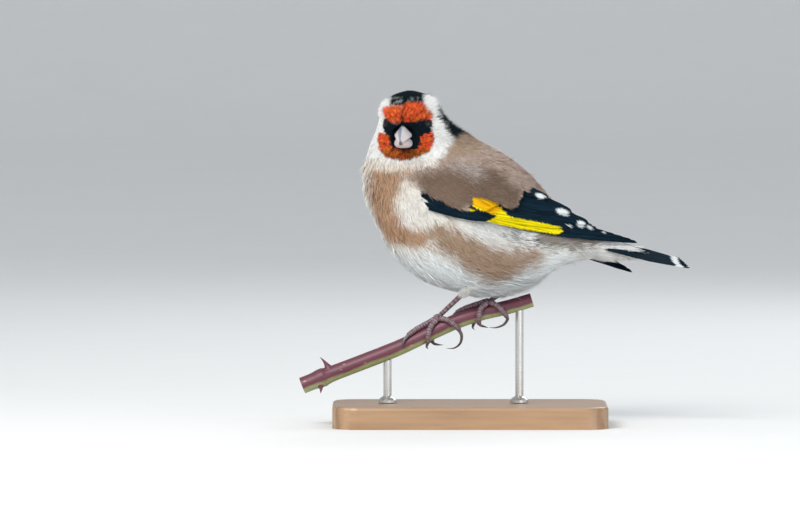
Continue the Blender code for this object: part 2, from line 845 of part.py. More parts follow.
def make_foot(side, material):
    """Long bone, toes with their joint pads, and claws, as one body."""
    middle, ankle = foot_middle(side), ANKLES[side]
    down = (middle - ankle).normalized()
    start = ankle + down * SEAM
    bone_path = [start.lerp(middle, s) for s in (0.0, 0.3, 0.7, 0.92, 1.0)]
    bone = tube("foot_" + side, bone_path, [1.0, 0.85, 0.85, 1.1, 1.15], 8)
    pieces = [bone, ball("hub", middle + Vector((0, 0, -0.1)), (1.9, 1.35, 1.15), 5, 8)]
    for name, (toe, claw) in TOES.items():
        x = FEET[side]
        flip = -1 if side == "right" and name != "hind" else 1
        toe_keys = [around_perch(x + r, a * flip, c) for r, a, c in toe]
        near = 0.62 if side == "right" and name == "hind" else 1.0
        claw_keys = [toe_keys[-1]]
        claw_keys += [around_perch(x + r, a * flip, c * near) for r, a, c in claw]
        path = smooth_path(toe_keys, 7)
        pads = [TOE_RADIUS * (1 + 0.14 * (-1) ** k - 0.03 * k) for k in range(7)]
        pieces.append(tube("toe", path, pads, 7))
        path = smooth_path(claw_keys, 6)
        before = toe_keys[-1] + (toe_keys[-2] - toe_keys[-1]).normalized() * 0.8
        radii = [CLAW_RADIUS * (1 - (k / 6) ** 1.4) + 0.1 for k in range(7)]
        pieces.append(tube("claw", [before, *path], radii, 5))
    return cut(fuse("foot_" + side, pieces, material), [body_cutter()])


# Stand: a flat base and two short rods up to the stem.


def make_base(material):
    """A flat base with rounded corners and a small chamfer at its top edge."""
    mesh = bpy.data.meshes.new("stand_base")
    shape = bmesh.new()
    size = Matrix.Diagonal((BASE_LENGTH * MM, BASE_WIDTH * MM, BASE_THICKNESS * MM, 1))
    bmesh.ops.create_cube(shape, size=1.0, matrix=size)
    upright = [e for e in shape.edges if abs(e.verts[0].co.z - e.verts[1].co.z) > MM]
    bmesh.ops.bevel(
        shape, geom=upright, offset=9 * MM, segments=6, profile=0.5, affect="EDGES"
    )
    rim = [e for e in shape.edges if min(v.co.z for v in e.verts) > BASE_THICKNESS * 0.4 * MM]
    bmesh.ops.bevel(shape, geom=rim, offset=1.0 * MM, segments=2, profile=0.5, affect="EDGES")
    shape.to_mesh(mesh)
    shape.free()
    mesh.transform(
        Matrix.Translation((BASE_MIDDLE * MM, 0, (BASE_THICKNESS / 2 - GRIP_HEIGHT) * MM))
    )
    base = bpy.data.objects.new("stand_base", mesh)
    bpy.context.scene.collection.objects.link(base)
    mesh.materials.append(material)
    return base


def make_rod(name, x, material):
    """A turned rod with a small foot, from the base up to the stem's underside."""
    bottom = BASE_THICKNESS - GRIP_HEIGHT + SEAM
    centre, _run = perch_point(x)
    heights = [0.0, 0.9, 1.7, 2.4]
    radii = [3.4, 3.4, 2.6, ROD_RADIUS]
    path = [Vector((x, PERCH_Y, bottom + h)) for h in heights]
    path.append(Vector((x, PERCH_Y, centre.z)))
    return tube(name, path, [*radii, ROD_RADIUS], 16, material)


def shade(made):
    """Smooth shading with sharp edges where faces turn hard."""
    made.data.shade_smooth()
    made.data.set_sharp_from_angle(angle=math.radians(38))


def main():
    """Builds every node and hangs it from the empty at the grip point."""
    clear_scene()
    brown = finish("mantle_brown", (0.30, 0.21, 0.14), 0.85)
    white = finish("cheek_white", (0.78, 0.75, 0.69), 0.85)
    buff = finish("breast_buff", (0.52, 0.38, 0.26), 0.85)
    black = finish("flight_black", (0.012, 0.014, 0.02), 0.45)
    horn = finish("bill_horn", (0.66, 0.58, 0.55), 0.4)
    iris = finish("eye_dark", (0.008, 0.006, 0.005), 0.06)
    skin = finish("foot_skin", (0.27, 0.19, 0.18), 0.6)
    bark = finish("stem_bark", (0.22, 0.10, 0.13), 0.55)
    wood = finish("stand_wood", (0.42, 0.31, 0.21), 0.5)
    metal = finish("stand_steel", (0.55, 0.54, 0.52), 0.3, 1.0)

    head = make_head(white)
    nodes = [head, *make_bill(horn, head), *make_eyes(iris)]
    nodes.append(body_solid("neck", HEAD_TO_NECK + CUT, NECK_TO_TORSO, buff))
    nodes.append(body_solid("torso", NECK_TO_TORSO + CUT, TORSO_TO_TAIL, brown))
    nodes.append(make_tail(black))
    nodes += make_wings(black)
    for side in FEET:
        nodes.append(make_thigh(side, white))
        nodes.append(make_foot(side, skin))
    perch = make_perch(bark)
    nodes += [perch, make_base(wood)]
    for place, x in ROD_PLACES.items():
        rod = make_rod("stand_rod_" + place, x, metal)
        nodes.append(cut(rod, [grown(perch, SEAM)]))

    grip = bpy.data.objects.new("grip_point", None)
    bpy.context.scene.collection.objects.link(grip)
    grip.location = (-BASE_MIDDLE * MM, 0.0, GRIP_HEIGHT * MM)
    for node in nodes:
        shade(node)
        node.parent = grip


main()
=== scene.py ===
"""Looks of a life-size European goldfinch that grips a cut length of briar on a plain display stand.

Shapes are worked out in millimetres about the grip point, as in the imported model's source, and
are turned into metres in the model's frame when a piece is made. The bird faces -X and turns its
head to -Y, towards the camera.
"""

import math

import bpy
import numpy as np
from mathutils import Matrix, Vector
from mathutils.bvhtree import BVHTree


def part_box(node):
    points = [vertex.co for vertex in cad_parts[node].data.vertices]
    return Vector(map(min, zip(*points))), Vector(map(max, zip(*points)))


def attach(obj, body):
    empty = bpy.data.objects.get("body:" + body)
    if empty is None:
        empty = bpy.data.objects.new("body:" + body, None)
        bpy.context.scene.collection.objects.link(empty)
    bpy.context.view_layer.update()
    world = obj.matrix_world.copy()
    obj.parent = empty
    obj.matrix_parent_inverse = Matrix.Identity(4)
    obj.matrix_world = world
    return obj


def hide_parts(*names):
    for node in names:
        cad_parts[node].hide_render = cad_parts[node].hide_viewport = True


bl_info = {
    "name": "Goldfinch on a perch",
    "version": (1, 0, 0),
    "blender": (4, 5, 0),
    "location": "View3D > Sidebar > Goldfinch",
    "description": "Builds the plumage, bare parts, perch, stand and stage of a perched goldfinch",
    "category": "Add Mesh",
}

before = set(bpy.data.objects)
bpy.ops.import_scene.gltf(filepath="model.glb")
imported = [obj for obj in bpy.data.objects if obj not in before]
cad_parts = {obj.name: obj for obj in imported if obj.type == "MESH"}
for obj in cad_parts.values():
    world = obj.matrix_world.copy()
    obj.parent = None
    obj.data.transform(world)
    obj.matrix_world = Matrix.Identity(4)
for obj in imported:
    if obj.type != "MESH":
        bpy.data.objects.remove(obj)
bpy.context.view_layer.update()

MM = 0.001
GRIP = np.array((0.0, 0.0, 42.0))  # grip point above the table
COAT_LIMIT = 190000  # triangles in one coat piece

BILL_BASE = np.array((-24.1, -17.0, 64.2))
BILL_TIP = np.array((-25.5, -31.2, 61.2))
SIDES = ("left", "right")
HEAD_MIDDLE = np.array((-22.4, -6.7, 68.0))
FACE_FORWARD = np.array((-0.105, -0.9945, 0.0))
FACE_ASIDE = np.array((0.9945, -0.105, 0.0))

# The line inside the body from the crown to the tail's root, from which the skin is measured.
BODY_LINE = [
    (-22.0, -6.6, 71.0),
    (-20.8, -5.6, 62.5),
    (-16.6, -2.6, 52.5),
    (-9.0, -0.4, 41.5),
    (2.0, 0.0, 31.5),
    (16.0, 0.0, 25.0),
    (31.0, 0.0, 22.4),
    (46.0, 0.0, 21.8),
    (59.0, 0.0, 21.0),
]
CROWN_RINGS = 26
BODY_RINGS = 150
RING_SIDES = 120
RAY_REACH = 45.0  # how far outside the middle line the search for the surface begins
EYE_CLEAR = 4.4  # the surface is not read nearer to an eye's middle than this
TAIL_CONE_START = 45.0
TAIL_CONE_END = (1.4, 2.2)  # half height and half width where the tail's coverts end


def colour(name, default):
    """A colour setting in linear light."""
    return bpy.props.FloatVectorProperty(
        name=name,
        description=name + " in linear light",
        subtype="COLOR",
        size=3,
        min=0.0,
        max=1.0,
        default=default,
    )


def length(name, millimetres):
    """A length setting, given here in millimetres."""
    return bpy.props.FloatProperty(
        name=name,
        description=name,
        unit="LENGTH",
        subtype="DISTANCE",
        min=0.0,
        default=millimetres * MM,
    )


class GoldfinchPlumage(bpy.types.PropertyGroup):
    """Colours and sizes of the feathers."""

    white: colour("Belly white", (0.70, 0.70, 0.68))
    cream: colour("Throat cream", (0.60, 0.52, 0.43))
    mantle: colour("Mantle brown", (0.360, 0.275, 0.228))
    scapular: colour("Scapular brown", (0.128, 0.085, 0.060))
    tan: colour("Breast tan", (0.385, 0.240, 0.150))
    flank: colour("Flank brown", (0.300, 0.200, 0.128))
    grey: colour("Flank grey", (0.42, 0.43, 0.42))
    red: colour("Face red", (0.56, 0.062, 0.020))
    black: colour("Head black", (0.003, 0.008, 0.012))
    flight: colour("Flight feather black", (0.003, 0.008, 0.014))
    yellow: colour("Wing yellow", (0.76, 0.63, 0.004))
    gold: colour("Covert yellow", (0.72, 0.38, 0.004))
    tip_white: colour("Feather tip white", (0.55, 0.58, 0.58))
    coat_depth: length("Depth of the coat on the body", 0.9)
    blade_width: length("Width of one lock of barbs", 0.26)
    seed: bpy.props.IntProperty(
        name="Seed", description="Start of every random draw", default=11, min=0
    )


class GoldfinchPerch(bpy.types.PropertyGroup):
    """Colours and sizes of the briar stem."""

    bark: colour("Bark on the light side", (0.110, 0.020, 0.038))
    shade: colour("Bark on the shaded side", (0.29, 0.33, 0.15))
    radius: length("Stem radius", 2.7)


class GoldfinchStage(bpy.types.PropertyGroup):
    """Camera, floor and light."""

    floor: colour("Floor", (0.74, 0.74, 0.73))
    camera_distance: bpy.props.FloatProperty(
        name="Camera distance",
        description="Distance from the camera to the bird",
        unit="LENGTH",
        default=3.0,
        min=0.5,
    )
    camera_height: bpy.props.FloatProperty(
        name="Camera elevation",
        description="Angle of the view below the level",
        subtype="ANGLE",
        default=math.radians(2.5),
        min=0.0,
    )
    key: bpy.props.FloatProperty(
        name="Key light", description="Power of the main light in watts", default=10.5, min=0.0
    )


# Number helpers.


def unit(vectors):
    """Rows scaled to length one."""
    size = np.linalg.norm(vectors, axis=-1, keepdims=True)
    return vectors / np.maximum(size, 1e-9)


def dot(a, b):
    """Row by row dot product, kept as a column."""
    return np.sum(a * b, axis=-1, keepdims=True)


def smooth(low, high, value):
    """Smooth step from 0 at low to 1 at high."""
    share = np.clip((np.asarray(value, float) - low) / (high - low), 0.0, 1.0)
    return share * share * (3 - 2 * share)


def along(keys, t):
    """The smooth curve through the keys at t, where whole numbers are the keys themselves."""
    keys = np.asarray(keys, float)
    last = len(keys) - 1
    t = np.clip(np.atleast_1d(np.asarray(t, float)), 0.0, last)
    i = np.minimum(t.astype(int), last - 1)
    f = (t - i)[:, None]
    a, b = keys[i], keys[i + 1]
    before = np.where((i == 0)[:, None], 2 * a - b, keys[np.maximum(i - 1, 0)])
    after = np.where((i == last - 1)[:, None], 2 * b - a, keys[np.minimum(i + 2, last)])
    curve = 2 * a + (b - before) * f + (2 * before - 5 * a + 4 * b - after) * f * f
    return 0.5 * (curve + (3 * a - before - 3 * b + after) * f**3)


def at_x(table, x):
    """The other columns of a table at x, which is its first and rises, on a smooth curve."""
    columns = np.asarray(table, float)
    return along(columns[:, 1:], np.interp(x, columns[:, 0], np.arange(len(columns))))


def inside(outline, x, z):
    """Distance in from the outline of a patch, negative outside it."""
    corners = np.asarray(outline, float)
    place = np.stack([np.ravel(x), np.ravel(z)], axis=1)
    nearest = np.full(len(place), 1e9)
    within = np.zeros(len(place), bool)
    for a, b in zip(corners, np.roll(corners, -1, axis=0)):
        run = b - a
        share = np.clip(((place - a) @ run) / max(run @ run, 1e-9), 0.0, 1.0)
        gap = np.linalg.norm(place - a - share[:, None] * run, axis=1)
        nearest = np.minimum(nearest, gap)
        crosses = (a[1] > place[:, 1]) != (b[1] > place[:, 1])
        rise = b[1] - a[1] if abs(b[1] - a[1]) > 1e-9 else 1e-9
        meets = a[0] + (place[:, 1] - a[1]) * run[0] / rise
        within ^= crosses & (place[:, 0] < meets)
    return np.where(within, nearest, -nearest).reshape(np.shape(x))


def waves(points, scale, seed):
    """Smooth noise between about -1 and 1 at points, from a few crossed waves."""
    draw = np.random.default_rng(seed)
    total = np.zeros(len(points))
    for _ in range(6):
        way = unit(draw.normal(size=3)) * scale * draw.uniform(0.6, 1.6)
        total += np.sin(points @ way + draw.uniform(0, 6.28))
    return total / 3.2


# Meshes.


def new_piece(name, points, faces, finishes, stands_for=(), finish_of=None):
    """A mesh piece from points in millimetres and arrays of faces, riding on the model's body."""
    mesh = bpy.data.meshes.new(name)
    corners = np.concatenate([np.asarray(f).ravel() for f in faces]).astype(np.int32)
    sizes = np.concatenate([np.full(len(f), np.shape(f)[1]) for f in faces])
    starts = np.concatenate([[0], np.cumsum(sizes)[:-1]]).astype(np.int32)
    places = (np.asarray(points, float) + GRIP) * MM
    mesh.vertices.add(len(places))
    mesh.vertices.foreach_set("co", places.astype(np.float32).ravel())
    mesh.loops.add(len(corners))
    mesh.loops.foreach_set("vertex_index", corners)
    mesh.polygons.add(len(sizes))
    mesh.polygons.foreach_set("loop_start", starts)
    for finish in finishes:
        mesh.materials.append(finish)
    if finish_of is not None:
        mesh.polygons.foreach_set("material_index", np.asarray(finish_of, np.int32))
    mesh.update(calc_edges=True)
    mesh.shade_smooth()
    piece = bpy.data.objects.new(name, mesh)
    bpy.context.scene.collection.objects.link(piece)
    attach(piece, "root")
    if stands_for:
        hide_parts(*stands_for)
    return piece


def store(piece, name, values):
    """Keeps a number, or a colour, for each point of a piece."""
    values = np.asarray(values, np.float32)
    if values.ndim == 1:
        kept = piece.data.attributes.new(name, "FLOAT", "POINT")
        kept.data.foreach_set("value", values)
        return
    if values.shape[1] == 3:
        values = np.concatenate([values, np.ones((len(values), 1), np.float32)], axis=1)
    kept = piece.data.color_attributes.new(name, "FLOAT_COLOR", "POINT")
    kept.data.foreach_set("color", values.ravel())


def bake_map(piece, places):
    """An unwrap named OFBake, from a place for each point."""
    layer = piece.data.uv_layers.new(name="OFBake")
    corners = np.zeros(len(piece.data.loops), np.int32)
    piece.data.loops.foreach_get("vertex_index", corners)
    layer.data.foreach_set("uv", np.asarray(places, np.float32)[corners].ravel())


def grid_faces(rows, columns, closed=False, start=0):
    """Quads of a grid of points, joined round its columns if closed."""
    r, c = np.meshgrid(np.arange(rows - 1), np.arange(columns - (not closed)), indexing="ij")
    n = (c + 1) % columns
    quads = np.stack([r * columns + c, r * columns + n, (r + 1) * columns + n], axis=-1)
    quads = np.concatenate([quads, ((r + 1) * columns + c)[..., None]], axis=-1)
    return quads.reshape(-1, 4) + start


def path_frames(path):
    """Tangent and two across directions at each point of a path, without twisting."""
    path = np.asarray(path, float)
    tangents = unit(np.gradient(path, axis=0))
    seed = np.array((0.0, 0.0, 1.0)) if abs(tangents[0][2]) < 0.8 else np.array((1.0, 0.0, 0.0))
    across = []
    for tangent in tangents:
        seed = unit(seed - tangent * (seed @ tangent))
        across.append(seed)
    across = np.array(across)
    return tangents, across, np.cross(tangents, across)


def tube(path, radii, sides, start=0):
    """Points, quads and round-the-tube angles of a tube that closes to a point at both ends."""
    path = np.asarray(path, float)
    _run, across, other = path_frames(path)
    angles = 2 * math.pi * np.arange(sides) / sides
    ring = across[:, None] * np.cos(angles)[None, :, None]
    ring = ring + other[:, None] * np.sin(angles)[None, :, None]
    radii = np.asarray(radii, float)
    radii = radii[:, None] if radii.ndim == 1 else radii
    points = path[:, None] + ring * radii[..., None]
    return points.reshape(-1, 3), grid_faces(len(path), sides, True, start)


def ball_angles(rows, columns):
    """Angles from the pole and round it, for a ball's grid of points."""
    round_way = np.arange(columns) / columns * 2 * math.pi
    return np.meshgrid(np.linspace(0, math.pi, rows), round_way, indexing="ij")


class Heap:
    """Gathers points and faces of many shells into one piece."""

    def __init__(self):
        self.points, self.quads, self.tints, self.count = [], [], [], 0

    def add(self, points, quads, tints=None):
        self.points.append(points)
        self.quads.append(quads + self.count)
        if tints is not None:
            self.tints.append(tints)
        self.count += len(points)


# Shader helpers.


def feed(tree, end, value):
    """Links a socket into an input, or sets the input's constant."""
    if isinstance(value, bpy.types.NodeSocket):
        tree.links.new(value, end)
    else:
        end.default_value = (*value[:3], 1.0) if end.type == "RGBA" else value


def add_node(tree, kind, *terms, **values):
    """A node with its settings, and with inputs fed by name or by place."""
    made = tree.nodes.new(kind)
    for key, value in values.items():
        if key in made.inputs:
            feed(tree, made.inputs[key], value)
        else:
            setattr(made, key, value)
    for end, value in zip(made.inputs, terms):
        feed(tree, end, value)
    return made


def sums(tree, operation, *terms):
    """The result of one step of arithmetic."""
    return add_node(tree, "ShaderNodeMath", *terms, operation=operation).outputs["Value"]


def vectors(tree, operation, *terms, **values):
    """The result of one step of arithmetic on vectors."""
    made = add_node(tree, "ShaderNodeVectorMath", *terms, operation=operation, **values)
    return made.outputs["Vector"]


def noise(tree, **values):
    """A noise texture's value."""
    return add_node(tree, "ShaderNodeTexNoise", **values).outputs["Fac"]


def reading(tree, name, output="Fac"):
    """A number or colour that is kept on the mesh."""
    return add_node(tree, "ShaderNodeAttribute", attribute_name=name).outputs[output]


def object_place(tree):
    """Where a point lies on its piece."""
    return add_node(tree, "ShaderNodeTexCoord").outputs["Object"]


def blend(tree, share, under, over):
    """One colour laid over another."""
    made = add_node(tree, "ShaderNodeMix", data_type="RGBA", Factor=share, A=under, B=over)
    return made.outputs["Result"]


def ranged(tree, value, low, high, start=0.0, **settings):
    """How far a value is on its way from low to high, counted from start to one."""
    ends = {"From Min": low, "From Max": high, "To Min": start}
    return add_node(tree, "ShaderNodeMapRange", Value=value, **ends, **settings).outputs["Result"]


def ramped(tree, value, stops):
    """The colour at a value, from stops of place and colour."""
    made = add_node(tree, "ShaderNodeValToRGB", value)
    elements = made.color_ramp.elements
    while len(elements) < len(stops):
        elements.new(0.5)
    for element, (place, tint) in zip(elements, stops):
        element.position, element.color = place, (*tint, 1)
    return made.outputs["Color"]


def new_group(name, inputs, outputs):
    """A shader node group with named sockets, and the sockets of its two ends."""
    group = bpy.data.node_groups.new(name, "ShaderNodeTree")
    kinds = {"c": "NodeSocketColor", "f": "NodeSocketFloat", "v": "NodeSocketVector"}
    for socket, kind, default in inputs:
        made = group.interface.new_socket(socket, in_out="INPUT", socket_type=kinds[kind])
        if default is not None:
            made.default_value = default
    for socket, kind in outputs:
        group.interface.new_socket(socket, in_out="OUTPUT", socket_type=kinds[kind])
    ends = [group.nodes.new("NodeGroupInput"), group.nodes.new("NodeGroupOutput")]
    return group, ends[0].outputs, ends[1].inputs


def uneven_tone():
    """Uneven tone: a colour made lighter and darker by two sizes of noise."""
    sockets = [("Color", "c", None), ("Scale", "f", 300.0), ("Amount", "f", 0.2)]
    sockets.append(("Stretch", "v", (1.0, 1.0, 1.0)))
    group, ins, outs = new_group("uneven_tone", sockets, [("Color", "c"), ("Mask", "f")])
    scaled = vectors(group, "MULTIPLY", object_place(group), ins["Stretch"])
    coarse = noise(group, Vector=scaled, Scale=ins["Scale"], Detail=3.0, Roughness=0.6)
    finer = sums(group, "MULTIPLY", ins["Scale"], 5.3)
    both = sums(group, "ADD", coarse, noise(group, Vector=scaled, Scale=finer, Detail=2.0))
    centred = sums(group, "SUBTRACT", both, 1.0)
    gain = sums(group, "MULTIPLY_ADD", centred, ins["Amount"], 1.0)
    feed(group, outs["Color"], vectors(group, "SCALE", ins["Color"], Scale=gain))
    feed(group, outs["Mask"], centred)
    return group


def feather_barbs():
    """Fine barbs: lines that slant away from a feather's shaft, from its own coordinates."""
    sockets = [("Spacing", "f", 6.0), ("Slant", "f", 1.0)]
    results = [("Height", "f"), ("Mask", "f"), ("Streak", "f")]
    group, ins, outs = new_group("feather_barbs", sockets, results)
    run, aside, tone = (reading(group, name) for name in ("run", "aside", "tone"))
    slant = sums(group, "MULTIPLY", sums(group, "ABSOLUTE", aside), ins["Slant"])
    line = sums(group, "SUBTRACT", run, slant)
    wave = sums(group, "SINE", sums(group, "MULTIPLY", line, ins["Spacing"]))
    feed(group, outs["Height"], wave)
    feed(group, outs["Mask"], noise(group, noise_dimensions="1D", W=line, Scale=1.4, Detail=3.0))
    long_way = add_node(group, "ShaderNodeCombineXYZ", run, aside, tone).outputs["Vector"]
    drawn = vectors(group, "MULTIPLY", long_way, (0.07, 2.6, 20.0))
    feed(group, outs["Streak"], noise(group, Vector=drawn, Scale=1.0, Detail=2.0))
    return group


def use(tree, build, **values):
    """The outputs of a node group placed in a material; the group is built at its first use."""
    placed = tree.nodes.new("ShaderNodeGroup")
    placed.node_tree = bpy.data.node_groups.get(build.__name__) or build()
    for key, value in values.items():
        feed(tree, placed.inputs[key], value)
    return placed.outputs


def new_finish(name, roughness=0.6, **constants):
    """A material, its node tree and its shader."""
    finish = bpy.data.materials.new(name)
    finish.use_nodes = True
    shader = finish.node_tree.nodes["Principled BSDF"]
    shader.inputs["Roughness"].default_value = roughness
    for key, value in constants.items():
        shader.inputs[key.replace("_", " ")].default_value = value
    return finish, finish.node_tree, shader


def bump_from(tree, shader, height, strength, distance):
    """Relief from a height, into the shader's normal."""
    bump = add_node(tree, "ShaderNodeBump", Height=height, Strength=strength, Distance=distance * MM)
    feed(tree, shader.inputs["Normal"], bump.outputs["Normal"])


def tone_over(tree, shader, tint, scale, amount, stretch=(1.0, 1.0, 1.0)):
    """Gives a shader its colour in an uneven tone, and returns the tone's mask."""
    tone = use(tree, uneven_tone, Color=tint, Scale=scale, Amount=amount, Stretch=stretch)
    feed(tree, shader.inputs["Base Color"], tone["Color"])
    return tone["Mask"]


# Markings, and the painted highlight SHEEN. Outlines are (x, z) seen from the viewer's side, the same on
# both sides of the bird.

BACK = [(-8, 68), (2, 66), (14, 60), (24, 55), (40, 42), (46, 32), (38, 27.6), (27, 29), (17, 37.5)]
BACK += [(-2, 37), (-21.5, 46.9), (-21.5, 50.5), (-12.7, 53.8), (-8.4, 57), (-6, 61)]
SCAPULAR = [(-21.1, 49.8), (-12.7, 52.4), (-4.7, 53.5), (5.5, 52.6), (13.5, 49), (18.5, 45.5)]
SCAPULAR += [(18.5, 38.9), (14.2, 35.6), (8.4, 38.6), (-1.8, 36.8), (-9.1, 38.0), (-17.4, 41.2)]
# Painted highlight: SHEEN outlines a pale grey sheen on the upper scapulars, which is light and not a
# marking.
SHEEN = [(-9.5, 54.9), (-4.7, 55.3), (4.7, 51.3), (5.5, 46.9), (-0.4, 48.7), (-7.6, 51.6)]
NECK_SIDE = [(-6.5, 66), (3, 63.5), (3.2, 57.5), (-4, 56), (-9.1, 54.2), (-11.5, 54.2), (-7.4, 60)]
TAN_PATCH = [(-35.6, 51.6), (-18.8, 51.6), (-20.2, 47.6), (-23.4, 44.7), (-26, 38.9)]
TAN_PATCH += [(-24.8, 34.5), (-20.2, 30.8), (-13.6, 29.4), (-13.6, 22.5), (-21.5, 23)]
TAN_PATCH += [(-30.2, 24), (-34, 28), (-36.4, 34.5), (-36.3, 41.8), (-36.2, 46.2)]
FLANK = [(-16, 29.3), (-11, 32), (-4.1, 31.5), (3, 28.5), (8, 25.5), (14, 23.8), (23.5, 23)]
FLANK += [(28, 21), (23.5, 16.5), (17.6, 13.1), (9.7, 11.5), (1.8, 13.1), (-6, 16.5), (-12.9, 22.4)]
FLANK_PALE = [(-1.1, 33.5), (18.5, 30.5), (22.2, 27.3), (19.3, 24.4), (9.8, 25.1), (1.8, 27.3)]
FLECKS = [(11, 31), (24.4, 29), (26.5, 24), (21.5, 22.8), (13, 26)]
BREAST_SIDE = [(-24.4, 47.6), (-21.1, 49.5), (-16.4, 41.1), (-10.5, 37.1), (1.1, 33.5)]
BREAST_SIDE += [(1.8, 27.3), (-4.7, 30.2), (-14.9, 28.4), (-20.7, 30.2), (-26.2, 34.5), (-27.3, 38.9)]
RUMP_SIDE = [(25, 29), (40, 29), (50, 27), (50.5, 23.6), (38.2, 22.6), (28, 22.4), (23, 25)]

# What the folded wing leaves uncovered, from its bend to its tip and back under the yellow band.
OPEN_WING = [(-17.8, 45), (-12, 42.6), (-9.1, 40.8), (-6.2, 39.4), (-2.5, 38.0), (0.6, 37.5)]
OPEN_WING += [(1.6, 38.3), (0.2, 40.4), (-2, 43.4), (1, 43.5), (6.2, 42), (9.3, 40.3), (11.4, 38.6)]
OPEN_WING += [(13.1, 37), (15.6, 38.2), (17.1, 40.4), (17.5, 43.3), (16.7, 45.3), (15.2, 47.6), (17.5, 46.4)]
OPEN_WING += [(20, 45.3), (23.6, 43.1), (27.3, 40.5), (31, 38.5), (36, 36), (38.2, 34.6)]
OPEN_WING += [(41.8, 32.2), (45.5, 30.4), (49.5, 28.9), (61.1, 25.2), (60.8, 24.2), (50, 26)]
OPEN_WING += [(44, 26.9), (38.2, 27.5), (33.1, 27.9), (27.3, 28.8), (20, 29.9), (12.7, 31.2)]
OPEN_WING += [(8, 31.9), (3.3, 32.2), (-0.4, 32.8), (-4.7, 33.6), (-9.1, 34), (-14.2, 35.4)]
OPEN_WING += [(-12.4, 37), (-14.5, 37.5), (-19.3, 39), (-18, 40.8)]
# What the scapulars and small coverts cover of the wing.
WING_COVER = [(-26, 51), (-21, 55.5), (-10, 57.5), (0, 56.5), (8, 54), (14, 50.5), (18, 45.5)]
WING_COVER += [(17.4, 40), (15.6, 37.2), (11, 38), (6, 40), (0.2, 41.6), (0.8, 38.7), (-1, 36.9), (-9, 38.4)]
WING_COVER += [(-17, 40.6), (-21, 37.5), (-25, 42)]

YELLOW_COVERTS = [(-1.6, 43.2), (1.5, 42.4), (6.2, 41.2), (9.3, 39.6), (11.5, 38.3), (11.3, 36.9)]
YELLOW_COVERTS += [(8.4, 35.2), (4.7, 36.6), (1.3, 38.2), (-0.4, 40.7)]
YELLOW_BAND = [(10.9, 37.2), (12.9, 36.3), (14.2, 34.5), (20, 33.3), (27.3, 32), (31.6, 30.9)]
YELLOW_BAND += [(33.8, 29.6), (32.4, 28.2), (27.3, 29), (20, 30.2), (12.7, 31.5), (8, 32.2), (6.2, 32.9)]
YELLOW_BAND += [(8.4, 34.5)]
YELLOW_DOT = [(-2.4, 38), (0, 37.5), (2, 36.9), (0.5, 36.5), (-1.3, 37.2)]
# Pale tips of the wing's inner feathers: x, z, half length, half height.
TIP_SPOTS = [(24.6, 41.1, 1.7, 0.7), (32.8, 35.5, 2.3, 0.9), (39.7, 31.3, 1.6, 0.85)]
TIP_SPOTS += [(43.3, 30.3, 1.2, 0.45), (35.9, 31.0, 0.8, 0.25), (48.6, 28.7, 0.6, 0.22)]

HEAD = [(-44, 51), (-30, 50.6), (-20, 51.6), (-13, 53.5), (-8.5, 57.5), (-5.8, 62), (-4.8, 66)]
HEAD += [(-6, 71), (-9, 77), (-16, 84), (-30, 84), (-46, 70)]
BROW = [(-30.9, 70.4), (-31.0, 72.2), (-30.7, 73.8), (-29.7, 74.5), (-27.2, 74.8), (-25.4, 74.6)]
BROW += [(-24.6, 74.2), (-23.8, 75.1), (-22.5, 75.6), (-17.6, 75.7), (-16.6, 75), (-16.1, 73.3)]
BROW += [(-14.6, 71.9), (-13.7, 70.8), (-14.2, 70.2), (-15.4, 70), (-17.8, 69.5), (-20.4, 68.8)]
BROW += [(-23.6, 68.7), (-24.6, 69.4), (-25.9, 68.7), (-27.8, 68.5), (-29.9, 69.3)]
PARTING = [(-24.9, 68), (-25.0, 70.5), (-24.7, 73), (-24.3, 73), (-24.2, 70.5), (-24.3, 68)]
BIB = [(-33, 64.7), (-33.3, 62.5), (-33.2, 60), (-32.3, 58), (-30.4, 56.2), (-28, 55.4)]
BIB += [(-24.5, 55.1), (-21.5, 55.4), (-17.8, 56.5), (-14.9, 58.1), (-13.5, 60.8), (-13.3, 64.3)]
BIB += [(-13.9, 65.1)]
MASK = [(-31.5, 69), (-31.7, 67), (-31.4, 64.9), (-29.6, 63.6), (-29.2, 61.1), (-28.4, 59.2)]
MASK += [(-24.3, 58.2), (-19.1, 58.8), (-17.9, 60.8), (-18.2, 63), (-16.6, 64.4), (-14.2, 65.1)]
MASK += [(-13.7, 67.5), (-14, 69.9), (-15.4, 70.2), (-17.8, 69.8), (-20.4, 69.1), (-23.6, 69)]
MASK += [(-24.6, 69.8), (-25.9, 69), (-27.8, 68.6), (-30.7, 69.3)]
# The black wedge behind the cheek, with the other side of the head folded over.
COLLAR = [(-12.2, 74.4), (-11.6, 72.6), (-10.8, 69.9), (-9.0, 67.3), (-7.2, 63.6), (-5.2, 62.2)]
COLLAR += [(-2.5, 64), (-2.5, 70), (-7, 76)]


def mix(under, over, share):
    """One colour laid over others by a share for each row."""
    return under + (np.asarray(over) - under) * np.asarray(share)[:, None]


def patch(outline, x, z, low, high, fray):
    """Share of a marking at points: how far they lie inside its frayed edge."""
    return smooth(low, high, inside(outline, x, z) + fray)


def face_red(x, z, kit, ragged, draw):
    """Bristly red of the face: flame, deep red, gold and black mixed feather by feather, and painted shade
    on the chin under the bill.
    """
    red = kit.red * (0.5 + 0.85 * draw[0])[:, None]
    red = mix(red, (0.78, 0.17, 0.035), smooth(0.62, 0.97, draw[1]) * 0.75)
    chin = smooth(60.0, 57.5, z + ragged) * smooth(10.5, 7.5, np.abs(x + 23.5))
    outer = smooth(-18.0, -14.5, x) * smooth(66, 69, z)
    # Painted shade: the red is made darker and browner on the chin, under the bill.
    red = mix(red, red * np.array((0.42, 0.75, 0.5)), chin * 0.85)
    gold = (0.30 * chin + 0.5 * outer + 0.12) > draw[2]
    red = mix(red, np.array((0.38, 0.14, 0.016)) * (0.4 + 0.8 * draw[0])[:, None], gold * 0.75)
    return mix(red, (0.05, 0.010, 0.006), smooth(0.80, 0.90, draw[0] * 0.5 + draw[2] * 0.5) * 0.85)


